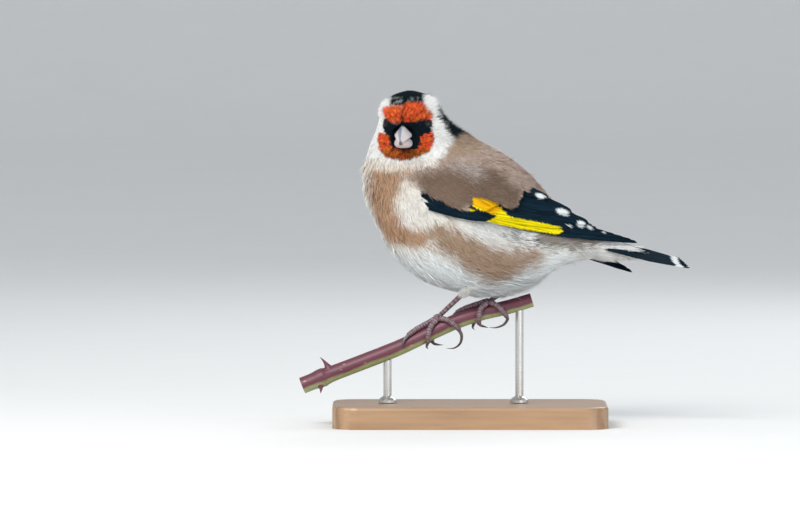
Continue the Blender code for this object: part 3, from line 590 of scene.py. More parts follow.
def head_tint(points, tint, kit, ragged):
    """Lays the head's markings over the body's own colours, and painted shade on the chin."""
    x, z = points[:, 0], points[:, 2]
    place = points - HEAD_MIDDLE
    aside, ahead = place @ FACE_ASIDE, place @ FACE_FORWARD
    turn = np.degrees(np.arctan2(np.abs(aside), ahead))
    draw = np.random.default_rng(kit.seed + 5).uniform(size=(3, len(points)))
    head = patch(HEAD, x, z, -0.9, 0.9, ragged * 0.7)
    white = mix(np.tile(kit.cream, (len(z), 1)), kit.white, smooth(50, 57, z + ragged))
    tint = mix(tint, white, head)
    nape = head * smooth(104, 122, turn + ragged * 4) * smooth(71.5, 67, z)
    tint = mix(tint, kit.mantle * 1.05, nape)
    low_edge = np.interp(z, [61.5, 63, 66, 72, 74, 80], [104, 98, 91, 90, 106, 118])
    high_edge = np.interp(z, [61.5, 63, 66, 69, 70.5], [104, 106, 120, 150, 185])
    behind = smooth(-3, 3, turn - low_edge + ragged * 3) * smooth(-4, 4, high_edge - turn)
    behind *= smooth(61.5, 63, z)
    folded = HEAD_MIDDLE[0] + np.abs(aside)
    collar = np.maximum(behind, patch(COLLAR, folded, z, -0.5, 0.5, ragged * 0.6))
    crown_half = 6.1 + 9 * smooth(3, -7, ahead)
    crown = smooth(-0.6, 0.6, crown_half - np.abs(aside) + ragged * 0.5)
    crown *= smooth(74.2, 75.2, z + ragged * 0.3 + 8 * smooth(0, -4, ahead))
    tint = mix(tint, kit.black, np.maximum(collar, crown))
    fleck = (np.abs(np.abs(aside) - 3.0) < 2.0) & (z > 75.4) & (z < 77.4) & (ahead > 0)
    tint = mix(tint, (0.26, 0.30, 0.28), (fleck & (draw[0] > 0.80)) * 0.8)
    front = smooth(-1.0, 1.5, ahead)
    brow = patch(BROW, x, z, -0.4, 0.4, ragged * 0.4) * front
    bib = patch(BIB, x, z, -0.4, 0.4, ragged * 0.4) * front
    tint = mix(tint, face_red(x, z, kit, ragged, draw), np.maximum(brow, bib))
    mask = patch(MASK, x, z, -0.3, 0.3, ragged * 0.25)
    mask = np.maximum(mask, 0.8 * patch(PARTING, x, z, -0.3, 0.2, 0.0)) * front
    for side in SIDES:
        mask = np.maximum(mask, smooth(2.35, 1.9, beside_eye(points, side)))
    return mix(tint, kit.black, mask)


def body_tint(points, kit):
    """The plumage's colour at points on the bird, for skin and feathers alike, with painted light and shade:
    a pale highlight on the scapulars, bluish light low on the belly and shade on the chin.
    """
    x, y, z = points.T
    ragged = waves(points * np.array((1.0, 1.6, 1.6)), 1.7, kit.seed + 1)
    broad = waves(points, 0.33, kit.seed + 2)
    draw = np.random.default_rng(kit.seed + 3).uniform(-1, 1, size=len(points))
    edge = ragged * 0.9 + broad * 0.8 + draw * 0.5
    white = kit.white
    tint = np.tile(white, (len(points), 1))
    # Painted cool light: the white turns bluish low on the belly.
    tint = mix(tint, white * (0.99, 1.04, 1.08), smooth(24, 14, z + edge))
    tint = mix(tint, kit.cream * 1.04, smooth(26, 48, z + edge) * 0.5)
    side = smooth(2.0, 7.0, np.abs(y))
    tint = mix(tint, kit.tan, patch(TAN_PATCH, x, z, -1.6, 2.2, edge) * side)
    tint = mix(tint, white * (0.95, 0.92, 0.87), patch(BREAST_SIDE, x, z, -1.5, 2.5, edge) * 0.8)
    tint = mix(tint, kit.flank, patch(FLANK, x, z, -2.4, 3.6, edge * 1.5) * 0.95)
    speckled = mix(np.tile(kit.grey, (len(z), 1)), white, smooth(-0.4, 0.8, draw))
    tint = mix(tint, speckled, patch(FLANK_PALE, x, z, -1.5, 2.5, edge) * 0.75)
    tint = mix(tint, (0.155, 0.125, 0.095), patch(RUMP_SIDE, x, z, -1.4, 1.6, edge) * 0.85)
    flecks = patch(FLECKS, x, z, -0.6, 1.2, edge) * (draw > 0.25)
    tint = mix(tint, (0.05, 0.047, 0.045), flecks * 0.7)
    back = patch(BACK, x, z, -1.2, 1.4, edge * 0.7)
    upper = smooth(-0.5, 0.5, z - np.interp(x, [-8, 18, 46, 60], [56, 48, 24.5, 22.5]))
    mantle = kit.mantle * (1.0 + 0.10 * broad + 0.08 * draw)[:, None]
    tint = mix(tint, mantle, np.maximum(back, upper))
    scapular = kit.scapular * (1.0 + 0.16 * broad + 0.14 * draw)[:, None]
    tint = mix(tint, scapular, patch(SCAPULAR, x, z, -1.2, 2.6, edge * 0.8) * 0.9)
    tint = mix(tint, mantle, smooth(48, 56, z) * back * 0.7)
    # Painted highlight: pale grey laid on some feathers inside the sheen patch.
    sheen = patch(SHEEN, x, z, -1.0, 2.0, edge) * smooth(-0.6, 0.5, draw)
    tint = mix(tint, (0.46, 0.44, 0.42), sheen * 0.6)
    tint = mix(tint, (0.33, 0.24, 0.165), patch(NECK_SIDE, x, z, -1.0, 2.0, edge) * 0.8)
    rear = smooth(44, 49, x + edge) * smooth(-0.5, 0.5, upper - 0.5)
    tint = mix(tint, (0.50, 0.49, 0.50), rear)
    return np.clip(head_tint(points, tint, kit, edge * 0.55), 0.002, 0.95)


# The body's map: rings of points on the model's own surface, from the crown to the tail.


class BodyMap:
    """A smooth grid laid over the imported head, neck, torso and tail."""

    def __init__(self):
        trees = {n: self.tree_of(n) for n in ("head", "neck", "torso", "tail")}
        line = np.array(BODY_LINE)
        span = len(line) - 1
        t = np.concatenate([np.zeros(CROWN_RINGS), np.linspace(0, span, BODY_RINGS + 1)[1:]])
        lean = np.zeros(len(t))
        lean[:CROWN_RINGS] = np.radians(np.linspace(89.0, 0.0, CROWN_RINGS))
        middles = along(line, t)
        ahead = along(line, t + 0.02) - along(line, np.maximum(t - 0.02, 0.0))
        run = unit(ahead * np.array((1.0, 0.0, 1.0)))
        back = np.stack([-run[:, 2], np.zeros(len(t)), run[:, 0]], axis=1)
        angles = 2 * math.pi * np.arange(RING_SIDES) / RING_SIDES
        spokes = back[:, None] * np.cos(angles)[None, :, None]
        spokes = spokes + np.array((0.0, 1.0, 0.0)) * np.sin(angles)[None, :, None]
        spokes = spokes * np.cos(lean)[:, None, None] - run[:, None] * np.sin(lean)[:, None, None]
        reach = self.measure(trees, middles, spokes)
        cone = smooth(TAIL_CONE_START, 59.0, middles[:, 0])[:, None]
        low, wide = TAIL_CONE_END
        end = 1 / np.sqrt((np.cos(angles) / low) ** 2 + (np.sin(angles) / wide) ** 2)
        steady = int(np.argmax(middles[:, 0] > TAIL_CONE_START))
        reach = np.where(cone > 0, reach[steady] * (1 - cone) + end * cone, reach)
        reach = self.soften(reach, 3)
        self.points = middles[:, None] + spokes * reach[..., None]
        self.rows, self.sides = reach.shape
        self.down = unit(np.gradient(self.points, axis=0))
        round_way = np.roll(self.points, -1, axis=1) - np.roll(self.points, 1, axis=1)
        self.normals = unit(np.cross(round_way, self.down))
        out = np.sum(self.normals * spokes, axis=2, keepdims=True)
        self.normals = self.normals * np.sign(out)

    def tree_of(self, node):
        """A search tree of a node's mesh, in millimetres about the grip point."""
        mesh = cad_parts[node].data
        places = [Vector(np.array(v.co) / MM - GRIP) for v in mesh.vertices]
        return BVHTree.FromPolygons(places, [tuple(p.vertices) for p in mesh.polygons])

    def measure(self, trees, middles, spokes):
        """Distance out to the model's surface along each spoke, with gaps and eyes filled."""
        eyes = [np.mean(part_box("eye_" + s), axis=0) / MM - GRIP for s in SIDES]
        reach = np.full(spokes.shape[:2], np.nan)
        for i, middle in enumerate(middles):
            names = ["head", "neck", "torso"]
            names += ["tail"] if 20 < middle[0] <= TAIL_CONE_START + 2 else []
            for j, spoke in enumerate(spokes[i]):
                start = Vector(middle + spoke * RAY_REACH)
                hits = [trees[name].ray_cast(start, Vector(-spoke), RAY_REACH) for name in names]
                hits = [hit for hit in hits if hit[0] is not None]
                if not hits:
                    continue
                place, _normal, _face, gap = min(hits, key=lambda hit: hit[3])
                if min(np.linalg.norm(np.array(place) - eye) for eye in eyes) > EYE_CLEAR:
                    reach[i, j] = RAY_REACH - gap
        missing = np.isnan(reach)
        known = np.where(missing, 0.0, reach)
        weight = (~missing).astype(float)
        filled = known.copy()
        for _ in range(60):
            total, share = np.zeros_like(known), np.zeros_like(known)
            for shift, axis in ((1, 0), (-1, 0), (1, 1), (-1, 1)):
                total += np.roll(filled * (weight > 0), shift, axis)
                share += np.roll((weight > 0).astype(float), shift, axis)
            grown = missing & (share > 0)
            filled[grown] = (total / np.maximum(share, 1))[grown]
            weight[grown] = 1.0
        return np.where(np.abs(filled - self.soften(filled, 4)) > 0.8, self.soften(filled, 8), filled)

    def soften(self, values, times):
        """Evens out a grid of values, round the rings and along them."""
        for _ in range(times):
            ends = np.concatenate([values[:1], values, values[-1:]])
            values = 0.5 * values + 0.25 * (ends[:-2] + ends[2:])
            values = 0.5 * values + 0.25 * (np.roll(values, 1, 1) + np.roll(values, -1, 1))
        return values

    def unwrap(self, rows, turns):
        """The place of a point of the map on its flat unwrap."""
        share = np.asarray(rows) / (self.rows - 1)
        return np.stack([0.03 + 0.94 * np.asarray(turns), 0.03 + 0.94 * share], axis=-1)


BODY = BodyMap()


def coat_depth(points, kit):
    """How far the skin lies under the outline: thin on the face, deeper on the body."""
    face = np.linalg.norm(points - BILL_BASE, axis=-1)
    thin = 0.35 + 0.25 * smooth(6, 16, face)
    body = smooth(62, 50, points[..., 2])
    return thin + (kit.coat_depth / MM - thin) * body


class Kit:
    """The scene's settings, read once as plain numbers and arrays."""

    def __init__(self, group):
        for key in group.__annotations__:
            value = getattr(group, key)
            setattr(self, key, np.array(tuple(value)) if hasattr(value, "__len__") else value)


def plumage_kit():
    """The plumage's settings."""
    return Kit(bpy.context.scene.goldfinch_plumage)


def plumage_finish():
    """Matt, finely barbed plumage whose colour is kept on its points."""
    found = bpy.data.materials.get("small_feathers")
    if found:
        return found
    finish, tree, shader = new_finish("small_feathers", 0.78, Specular_IOR_Level=0.07)
    mask = tone_over(tree, shader, reading(tree, "tint", "Color"), 900.0, 0.28)
    bump_from(tree, shader, mask, 0.25, 0.05)
    return finish


# Skin.

THIGH_FEATHERS = 420
THIGH_UNWRAP = {"left": 0.02, "right": 0.98}  # where a thigh lies on the skin's flat map
FLESH = ("head", "neck", "torso", "leg_left", "leg_right")
THIGH_ROOTS = {"left": (-2.4, -5.6, 6.4), "right": (11.6, 4.4, 6.0)}


def skin_points(kit):
    """The map's points sunk by the coat's depth."""
    return BODY.points - BODY.normals * coat_depth(BODY.points, kit)[..., None]


def thigh_shape(side, shrink):
    """Points and quads of the feathered end of a leg, from the belly to the ankle."""
    ankle = np.array(THIGH_ROOTS[side])
    foot = np.array((FEET[side], PERCH_Y, -5.0 if side == "left" else 1.5))
    down = unit(foot - ankle)
    top = ankle - down * 6.5
    shares = np.linspace(0, 1, 14)
    path = top + (ankle + down * 0.2 - top) * shares[:, None]
    radii = np.interp(shares, [0, 0.35, 0.65, 0.88, 1.0], [3.2, 2.7, 2.0, 1.4, 0.8]) - shrink * 0.6
    points, quads = tube(path, np.maximum(radii, 0.3), 28)
    return points, quads, down


class GOLDFINCH_OT_skin(bpy.types.Operator):
    """Lays one skin over the head, neck, body and thighs, under the coat"""

    bl_idname = "goldfinch.skin"
    bl_label = "Build the skin"

    def execute(self, context):
        kit = plumage_kit()
        heap = Heap()
        heap.add(skin_points(kit).reshape(-1, 3), grid_faces(BODY.rows, BODY.sides, True))
        turn = np.tile(np.arange(BODY.sides) / BODY.sides, BODY.rows)
        row = np.repeat(np.arange(BODY.rows), BODY.sides)
        unwraps = [BODY.unwrap(row, turn)]
        for side in SIDES:
            points, quads, _down = thigh_shape(side, 0.6)
            heap.add(points, quads)
            unwraps.append(np.full((len(points), 2), THIGH_UNWRAP[side]))
        points = np.concatenate(heap.points)
        # Painted shade: the skin under the coat takes the plumage's colour darkened to 0.8.
        tints = body_tint(points, kit) * 0.8
        skin = new_piece("skin", points, heap.quads, [plumage_finish()], FLESH)
        store(skin, "tint", tints)
        bake_map(skin, np.concatenate(unwraps))
        return {"FINISHED"}


# Coat: small feathers, each a thin fan of tapered locks that follows the body.

GUIDE_POINTS = 4  # along each small feather
GUIDE_SHARES = (0.0, 1 / 3, 2 / 3, 1.0)
LOCK_KEYS = ("locks", "start", "rise", "width", "spread", "root", "uneven")
LOCK_POINTS = 7  # of each tapered lock
COAT_DENSITY = 5.4  # feathers for each square millimetre, before their length is allowed for


def feather_lie(points, normals, down):
    """Which way feathers lie: away from the bill on the head, and towards the tail below."""
    from_bill = points - BILL_BASE
    gap = np.linalg.norm(from_bill, axis=1, keepdims=True)
    flat = from_bill / gap
    flat = flat - normals * dot(flat, normals)
    over = np.array((0.1, 0.5, -0.85)) - normals * dot(np.array((0.1, 0.5, -0.85)), normals)
    head = flat + over * 0.55 * smooth(7, 20, gap)
    share = smooth(52, 60, points[:, 2:3])
    return unit(down * (1 - share) + unit(head) * share)


def facing(corners):
    """The way quads face, as long as twice their area."""
    return np.cross(corners[:, 2] - corners[:, 0], corners[:, 3] - corners[:, 1])


def turned(ways, normals, angles):
    """Directions turned about the normals."""
    angles = angles[:, None]
    return ways * np.cos(angles) + np.cross(normals, ways) * np.sin(angles)


def follow(tree, roots, ups, ways, lengths):
    """Guide points and normals of feathers that keep to a surface."""
    places, normals = [roots], [ups]
    here, way = roots, ways
    steps = GUIDE_POINTS - 1
    for _ in range(steps):
        here = here + way * (lengths / steps)[:, None]
        found = [tree.find_nearest(Vector(p)) for p in here]
        here = np.array([f[0] for f in found])
        up = np.array([f[1] for f in found])
        up = up * np.sign(dot(up, normals[-1]))
        up = unit(up + normals[-1] * 0.6)
        way = unit(way - up * dot(way, up))
        places.append(here)
        normals.append(up)
    return np.stack(places, axis=1), np.stack(normals, axis=1)


def straight(roots, ways, sizes):
    """Guide points of straight feathers."""
    steps = np.linspace(0, 1, GUIDE_POINTS)[None, :, None]
    return roots[:, None] + ways[:, None] * sizes[:, None, None] * steps


def lock_style(*values):
    """How a feather's locks stand off, spread and vary, each for all feathers or for each one."""
    return dict(zip(LOCK_KEYS, values))


def fan_out(guides, ups, style, tints, draw):
    """Points, quads, triangles and colours of a fan of tapered locks on each guide."""
    count, locks = len(guides), style["locks"]
    lengths = np.sum(np.linalg.norm(np.diff(guides, axis=1), axis=2), axis=1)
    slot = np.linspace(-1, 1, locks)[None, :] + draw.uniform(-0.18, 0.18, (count, locks))
    scale = (1 - 0.22 * slot**2) * draw.uniform(0.78, 1.08, (count, locks))
    run = unit(np.gradient(guides, axis=1))
    across = np.cross(ups, run)
    widths = np.array((0.55, 1.0, 0.8, 0.0))
    roll = draw.normal(0, 0.35, (count, locks))
    bend = draw.normal(0, 0.10, (count, locks))
    own = {key: np.reshape(value, (-1, 1)) for key, value in style.items()}
    rise = own["rise"] * draw.uniform(0.6, 1.35, (count, locks))
    half = own["width"] * draw.uniform(0.7, 1.25, (count, locks)) / 2
    spread = own["spread"] * slot + bend
    root_aside = slot * own["root"]
    points = np.zeros((count, locks, LOCK_POINTS, 3))
    for k, share in enumerate(GUIDE_SHARES):
        middle = guides[:, None, 0] + (guides[:, k] - guides[:, 0])[:, None] * scale[..., None]
        out = root_aside + lengths[:, None] * share * spread * scale
        lift = own["start"] + rise * share**1.25
        place = middle + across[:, None, k] * out[..., None] + ups[:, None, k] * lift[..., None]
        edge = across[:, None, k] * np.cos(roll)[..., None]
        edge = edge + ups[:, None, k] * np.sin(roll)[..., None]
        if k == 3:
            points[:, :, 6] = place
        else:
            points[:, :, 2 * k] = place - edge * (half * widths[k])[..., None]
            points[:, :, 2 * k + 1] = place + edge * (half * widths[k])[..., None]
    total = count * locks
    first = (np.arange(total) * LOCK_POINTS)[:, None]
    quads = np.concatenate([first + np.array((0, 1, 3, 2)), first + np.array((2, 3, 5, 4))])
    thirds = first + np.array((4, 5, 6))
    # Painted shade and light: every lock is darker at its root and slightly lighter at its tip.
    shade = np.array((0.72, 0.72, 0.95, 0.95, 1.03, 1.03, 1.08))
    level = 1 + draw.normal(0, 1, (count, locks)) * own["uneven"]
    colours = tints[:, None, None] * (level[..., None] * shade)[..., None]
    return points.reshape(-1, 3), quads, thirds, np.clip(colours.reshape(-1, 3), 0.001, 0.95)


def make_coat(name, guides, ups, style, tints, places, draw):
    """Coat pieces of feathers, parted so that none is too large."""
    locks = style["locks"]
    most = COAT_LIMIT // (5 * locks)
    parts = max(1, math.ceil(len(guides) / most))
    for k, chosen in enumerate(np.array_split(np.arange(len(guides)), parts)):
        own = {key: v[chosen] if hasattr(v, "__len__") else v for key, v in style.items()}
        points, quads, thirds, colours = fan_out(guides[chosen], ups[chosen], own, tints[chosen], draw)
        title = name if parts == 1 else f"{name}_{k + 1}"
        piece = new_piece(title, points, [quads, thirds], [plumage_finish()])
        store(piece, "tint", colours)
        corner = np.array([(-1, 0), (1, 0), (-1, 0.4), (1, 0.4), (-1, 0.7), (1, 0.7), (0, 1)])
        aside = np.tile((corner - (0, 0.5)) * 0.0015, (len(chosen) * locks, 1))
        bake_map(piece, np.repeat(places[chosen], locks * LOCK_POINTS, axis=0) + aside)


def feather_length(points):
    """Length of a body feather: tiny on the face, long on the flanks and under the tail."""
    face = np.linalg.norm(points - BILL_BASE, axis=1)
    size = 1.5 + 1.3 * smooth(6, 16, face)
    size = size + 2.9 * smooth(60, 47, points[:, 2])
    return size + 1.6 * smooth(24, 12, points[:, 2])


def far_wing_move():
    """The move from the near wing's mirror image to the lower, more open far wing."""
    pivot = Vector((-15.0, 18.0, 45.0))
    move = Matrix.Translation(pivot + Vector((3.8, 0.0, 4.2)))
    move @= Matrix.Rotation(math.radians(2.2), 4, "Z") @ Matrix.Rotation(math.radians(12), 4, "Y")
    move @= Matrix.Translation(-pivot) @ Matrix.Scale(-1, 4, Vector((0, 1, 0)))
    return np.array(move)


FAR_WING = far_wing_move()


def moved(points, move):
    """Points under a 4 by 4 move."""
    return points @ move[:3, :3].T + move[:3, 3]


def in_wing_plane(points):
    """Where points lie in the near wing's own frame, with the far side folded over."""
    folded = moved(points, np.linalg.inv(FAR_WING))
    return np.where(points[:, 1:2] > 0, folded, points)


def clear_of_wing(points):
    """Distance that points keep from the open part of a wing, negative when under it."""
    place = in_wing_plane(points)
    depth = inside(OPEN_WING, place[:, 0], place[:, 2])
    off = np.abs(place[:, 1] - wing_depth(place[:, 0], place[:, 2]))
    return np.where(off < 4.5, -depth, 5.0)


def loose_places(points):
    """Shares of the loose white temples, of the hanging belly and of the fluffed breast side."""
    x, z = points[:, 0], points[:, 2]
    beside = np.abs((points - HEAD_MIDDLE) @ FACE_ASIDE)
    puff = smooth(6.0, 7.8, beside) * smooth(69.5, 72, z) * smooth(79.8, 77.8, z)
    behind = smooth(8.0, 10.5, (points - HEAD_MIDDLE) @ FACE_ASIDE) * smooth(61, 65, z)
    puff = np.maximum(puff, behind * smooth(74.5, 72, z) * smooth(6, -1, points[:, 1]))
    hang = smooth(-11, -5, x) * smooth(28, 18, x) * smooth(13, 8, z) * (0.7 + 0.3 * smooth(0, 6, x))
    breast = smooth(-32.5, -35.5, x) * smooth(40, 44, z) * smooth(58, 53, z)
    return puff, hang, breast


class GOLDFINCH_OT_coat(bpy.types.Operator):
    """Covers the skin with small overlapping feathers"""

    bl_idname = "goldfinch.coat"
    bl_label = "Grow the body feathers"

    def execute(self, context):
        kit = plumage_kit()
        draw = np.random.default_rng(kit.seed)
        skin = skin_points(kit)
        quads = grid_faces(BODY.rows, BODY.sides, True)
        flat = skin.reshape(-1, 3)
        tree = BVHTree.FromPolygons([Vector(p) for p in flat], quads.tolist())
        rows, columns = quads[:, 0] // BODY.sides, quads[:, 0] % BODY.sides
        corners = flat[quads]
        area = np.linalg.norm(facing(corners), axis=1) / 2
        middles = corners.mean(axis=1)
        density = COAT_DENSITY / feather_length(middles) ** 0.9
        totals = np.cumsum(area * density)
        count = int(totals[-1])
        chosen = np.searchsorted(totals, np.arange(count) + draw.uniform(0, 1, count) * 0.9)
        chosen = np.minimum(chosen, len(quads) - 1)
        a, b = draw.uniform(0, 1, (2, count, 1))
        corner = corners[chosen]
        roots = (corner[:, 0] * (1 - a) + corner[:, 3] * a) * (1 - b)
        roots = roots + (corner[:, 1] * (1 - a) + corner[:, 2] * a) * b
        row, column = rows[chosen], columns[chosen]
        ups, down = BODY.normals[row, column], BODY.down[row, column]
        places = BODY.unwrap(row + a[:, 0], (column + b[:, 0]) / BODY.sides)
        keep = self.uncovered(roots)
        roots, ups, down, places = roots[keep], ups[keep], down[keep], places[keep]
        count = len(roots)
        puff, hang, breast = loose_places(roots)
        sizes = feather_length(roots) * draw.uniform(0.8, 1.2, count)
        sizes = sizes + 0.9 * puff + 2.6 * hang + 1.2 * breast
        ways = feather_lie(roots, ups, down)
        loose = smooth(58, 46, roots[:, 2])
        clump = waves(roots, 0.8, kit.seed + 9) * 0.22 * loose
        ways = turned(ways, ups, clump + draw.normal(0, 0.07 + 0.07 * loose, count))
        guides, normals = follow(tree, roots, ups, ways, sizes)
        fall = (hang * draw.uniform(0.5, 1.0, count) * 3.4)[:, None, None]
        steps = (np.linspace(0, 1, GUIDE_POINTS) ** 1.4)[None, :, None]
        guides = guides + np.array((0.15, 0.0, -1.0)) * fall * steps
        for _ in range(3):
            over = clear_of_wing(guides[:, 3]) < draw.uniform(-1.9, -0.4, count)
            for side in SIDES:
                over |= beside_eye(guides[:, 3], side) < 1.45
            guides[over] = guides[over, :1] + (guides[over] - guides[over, :1]) * 0.6
        keep = clear_of_wing(guides[:, 3]) > -2.2
        guides, normals, places = guides[keep], normals[keep], places[keep]
        sizes, roots = sizes[keep], roots[keep]
        count = len(guides)
        tints = body_tint(guides[:, 2], kit)
        face = smooth(62, 54, roots[:, 2])
        stray = draw.uniform(0, 1, count) < 0.02 * smooth(60, 50, roots[:, 2])
        bristle = smooth(2.2, 3.5, tints[:, 0] / tints[:, 1]) * (roots[:, 2] > 50)
        puff, hang, breast = loose_places(roots)
        fluff = (1.2 * puff + 0.9 * breast) * draw.uniform(0.3, 1.2, count)
        rise = coat_depth(roots, kit) * (0.85 + 0.75 * bristle) + 1.1 * stray + fluff
        width = kit.blade_width / MM * (0.55 + 0.45 * face + 0.15 * bristle)
        spread = 0.30 - 0.06 * face + 0.12 * np.maximum(puff, hang)
        style = lock_style(8, 0.04, rise, width, spread, 0.10 + 0.05 * sizes, 0.07 + 0.25 * bristle)
        order = np.argsort(-roots[:, 2] + 0.6 * roots[:, 0])
        style = {k: v[order] if hasattr(v, "__len__") else v for k, v in style.items()}
        make_coat(
            "coat", guides[order], normals[order], style, tints[order], places[order], draw,
        )
        self.thighs(kit, draw)
        return {"FINISHED"}

    def uncovered(self, roots):
        """Which roots show: not under a wing, inside the bill or over an eye."""
        keep = clear_of_wing(roots) > -1.5
        place = in_wing_plane(roots)
        under = inside(WING_COVER, place[:, 0], place[:, 2]) > 3.5
        off = place[:, 1] - wing_depth(place[:, 0], place[:, 2])
        keep &= ~(under & (np.abs(off) < 5) & (np.abs(roots[:, 1]) > 6))
        forward = unit(BILL_TIP - BILL_BASE)
        rel = roots - BILL_BASE
        beside = np.linalg.norm(rel - np.outer(rel @ forward, forward), axis=1)
        keep &= (beside > 3.0) | (roots[:, 1] > -10)
        for side in SIDES:
            keep &= beside_eye(roots, side) > 1.6
        return keep

    def thighs(self, kit, draw):
        """Fluffy white feathers on the thighs and over the ankles."""
        for side in SIDES:
            points, quads, down = thigh_shape(side, 0.5)
            corner = points[quads]
            pick = draw.integers(0, len(quads) - 60, THIGH_FEATHERS)
            roots = corner[pick].mean(axis=1) + draw.normal(0, 0.15, (THIGH_FEATHERS, 3))
            up = unit(facing(corner))[pick]
            centre = points.mean(axis=0)
            axis_gap = (roots - centre) - np.outer((roots - centre) @ down, down)
            up = up * np.sign(dot(up, axis_gap))
            low = points[(points @ down) > (points @ down).max() - 0.4].mean(axis=0) + down * 1.6
            reach = low + up * 0.5 + draw.normal(0, 0.3, (THIGH_FEATHERS, 3)) - roots
            way = unit(reach)
            sizes = np.linalg.norm(reach, axis=1) * draw.uniform(0.55, 1.0, THIGH_FEATHERS)
            guides = straight(roots, way, sizes)
            normals = np.repeat(up[:, None], GUIDE_POINTS, axis=1)
            rise = draw.uniform(0.05, 0.5, THIGH_FEATHERS)
            style = lock_style(8, 0.05, rise, 0.15, 0.16, 0.3, 0.06)
            tints = np.tile(kit.white * 0.97, (THIGH_FEATHERS, 1))
            places = np.full((THIGH_FEATHERS, 2), THIGH_UNWRAP[side])
            make_coat("thigh_feathers_" + side, guides, normals, style, tints, places, draw)


# Wings. The folded wing's outer surface: x, reach from the mid-plane, middle z, half height.

WING_SHAPE = [(-26, 15.8, 38, 30), (-18, 19, 36, 30), (-8, 20.9, 33.5, 30), (2, 21.3, 30.5, 30)]
WING_SHAPE += [(12, 20.4, 27.5, 28), (22, 18, 24.5, 25), (32, 14.6, 22.5, 21)]
WING_SHAPE += [(42, 10.8, 21.5, 17), (52, 7.4, 20.5, 14), (62, 4.6, 20, 12)]


def wing_depth(x, z):
    """The y of the near wing's outer surface."""
    reach, middle, half = at_x(WING_SHAPE, x).T
    share = np.minimum(np.abs(z - middle) / half, 0.97)
    return -reach * np.sqrt(1 - share**2)


def wing_place(x, z, lift):
    """Points on the near wing's outer surface, raised by lift, and the way out there."""
    x, z = np.ravel(x), np.ravel(z)
    step = 0.5
    slope_x = (wing_depth(x + step, z) - wing_depth(x - step, z)) / (2 * step)
    slope_z = (wing_depth(x, z + step) - wing_depth(x, z - step)) / (2 * step)
    out = unit(np.stack([slope_x, -np.ones(len(x)), slope_z], axis=1))
    return np.stack([x, wing_depth(x, z), z], axis=1) + out * np.ravel(lift)[:, None], out


def feather_end(narrow, begins, tip, power=2.0):
    """The half width along a feather, from how it narrows and how long its round tip is."""

    def half(share):
        start = 0.62 + 0.38 * smooth(0.0, 0.4, share)
        taper = 1 - narrow * smooth(begins, 1.0, share)
        rounded = np.clip((share - 1 + tip) / tip, 0, 1) ** power
        return start * taper * np.sqrt(np.clip(1 - rounded, 0, 1))

    return half


round_end = feather_end(0.0, 0.5, 0.14, 2.2)
pointed_end = feather_end(0.74, 0.55, 0.07)
blunt_end = feather_end(0.5, 0.6, 0.08)


COVER_FEATHERS = 2600  # at most, on each wing
VANE_SHEET = 0.07  # half the thickness of a feather's web
VANE_COLUMNS = 13  # points across a web
VANE_STEP = 0.62  # length of a web between two rows of points
UNMARKED = -5.0  # the distance into a marking where a feather has none
# Painted reflection: the blue-teal of sky reflection, streaked into the black webs.
PAINTED_BLUE_SHEEN = (0.006, 0.022, 0.034)


def unmarked(x, _z):
    """No marking anywhere."""
    return np.full(np.shape(x), UNMARKED)


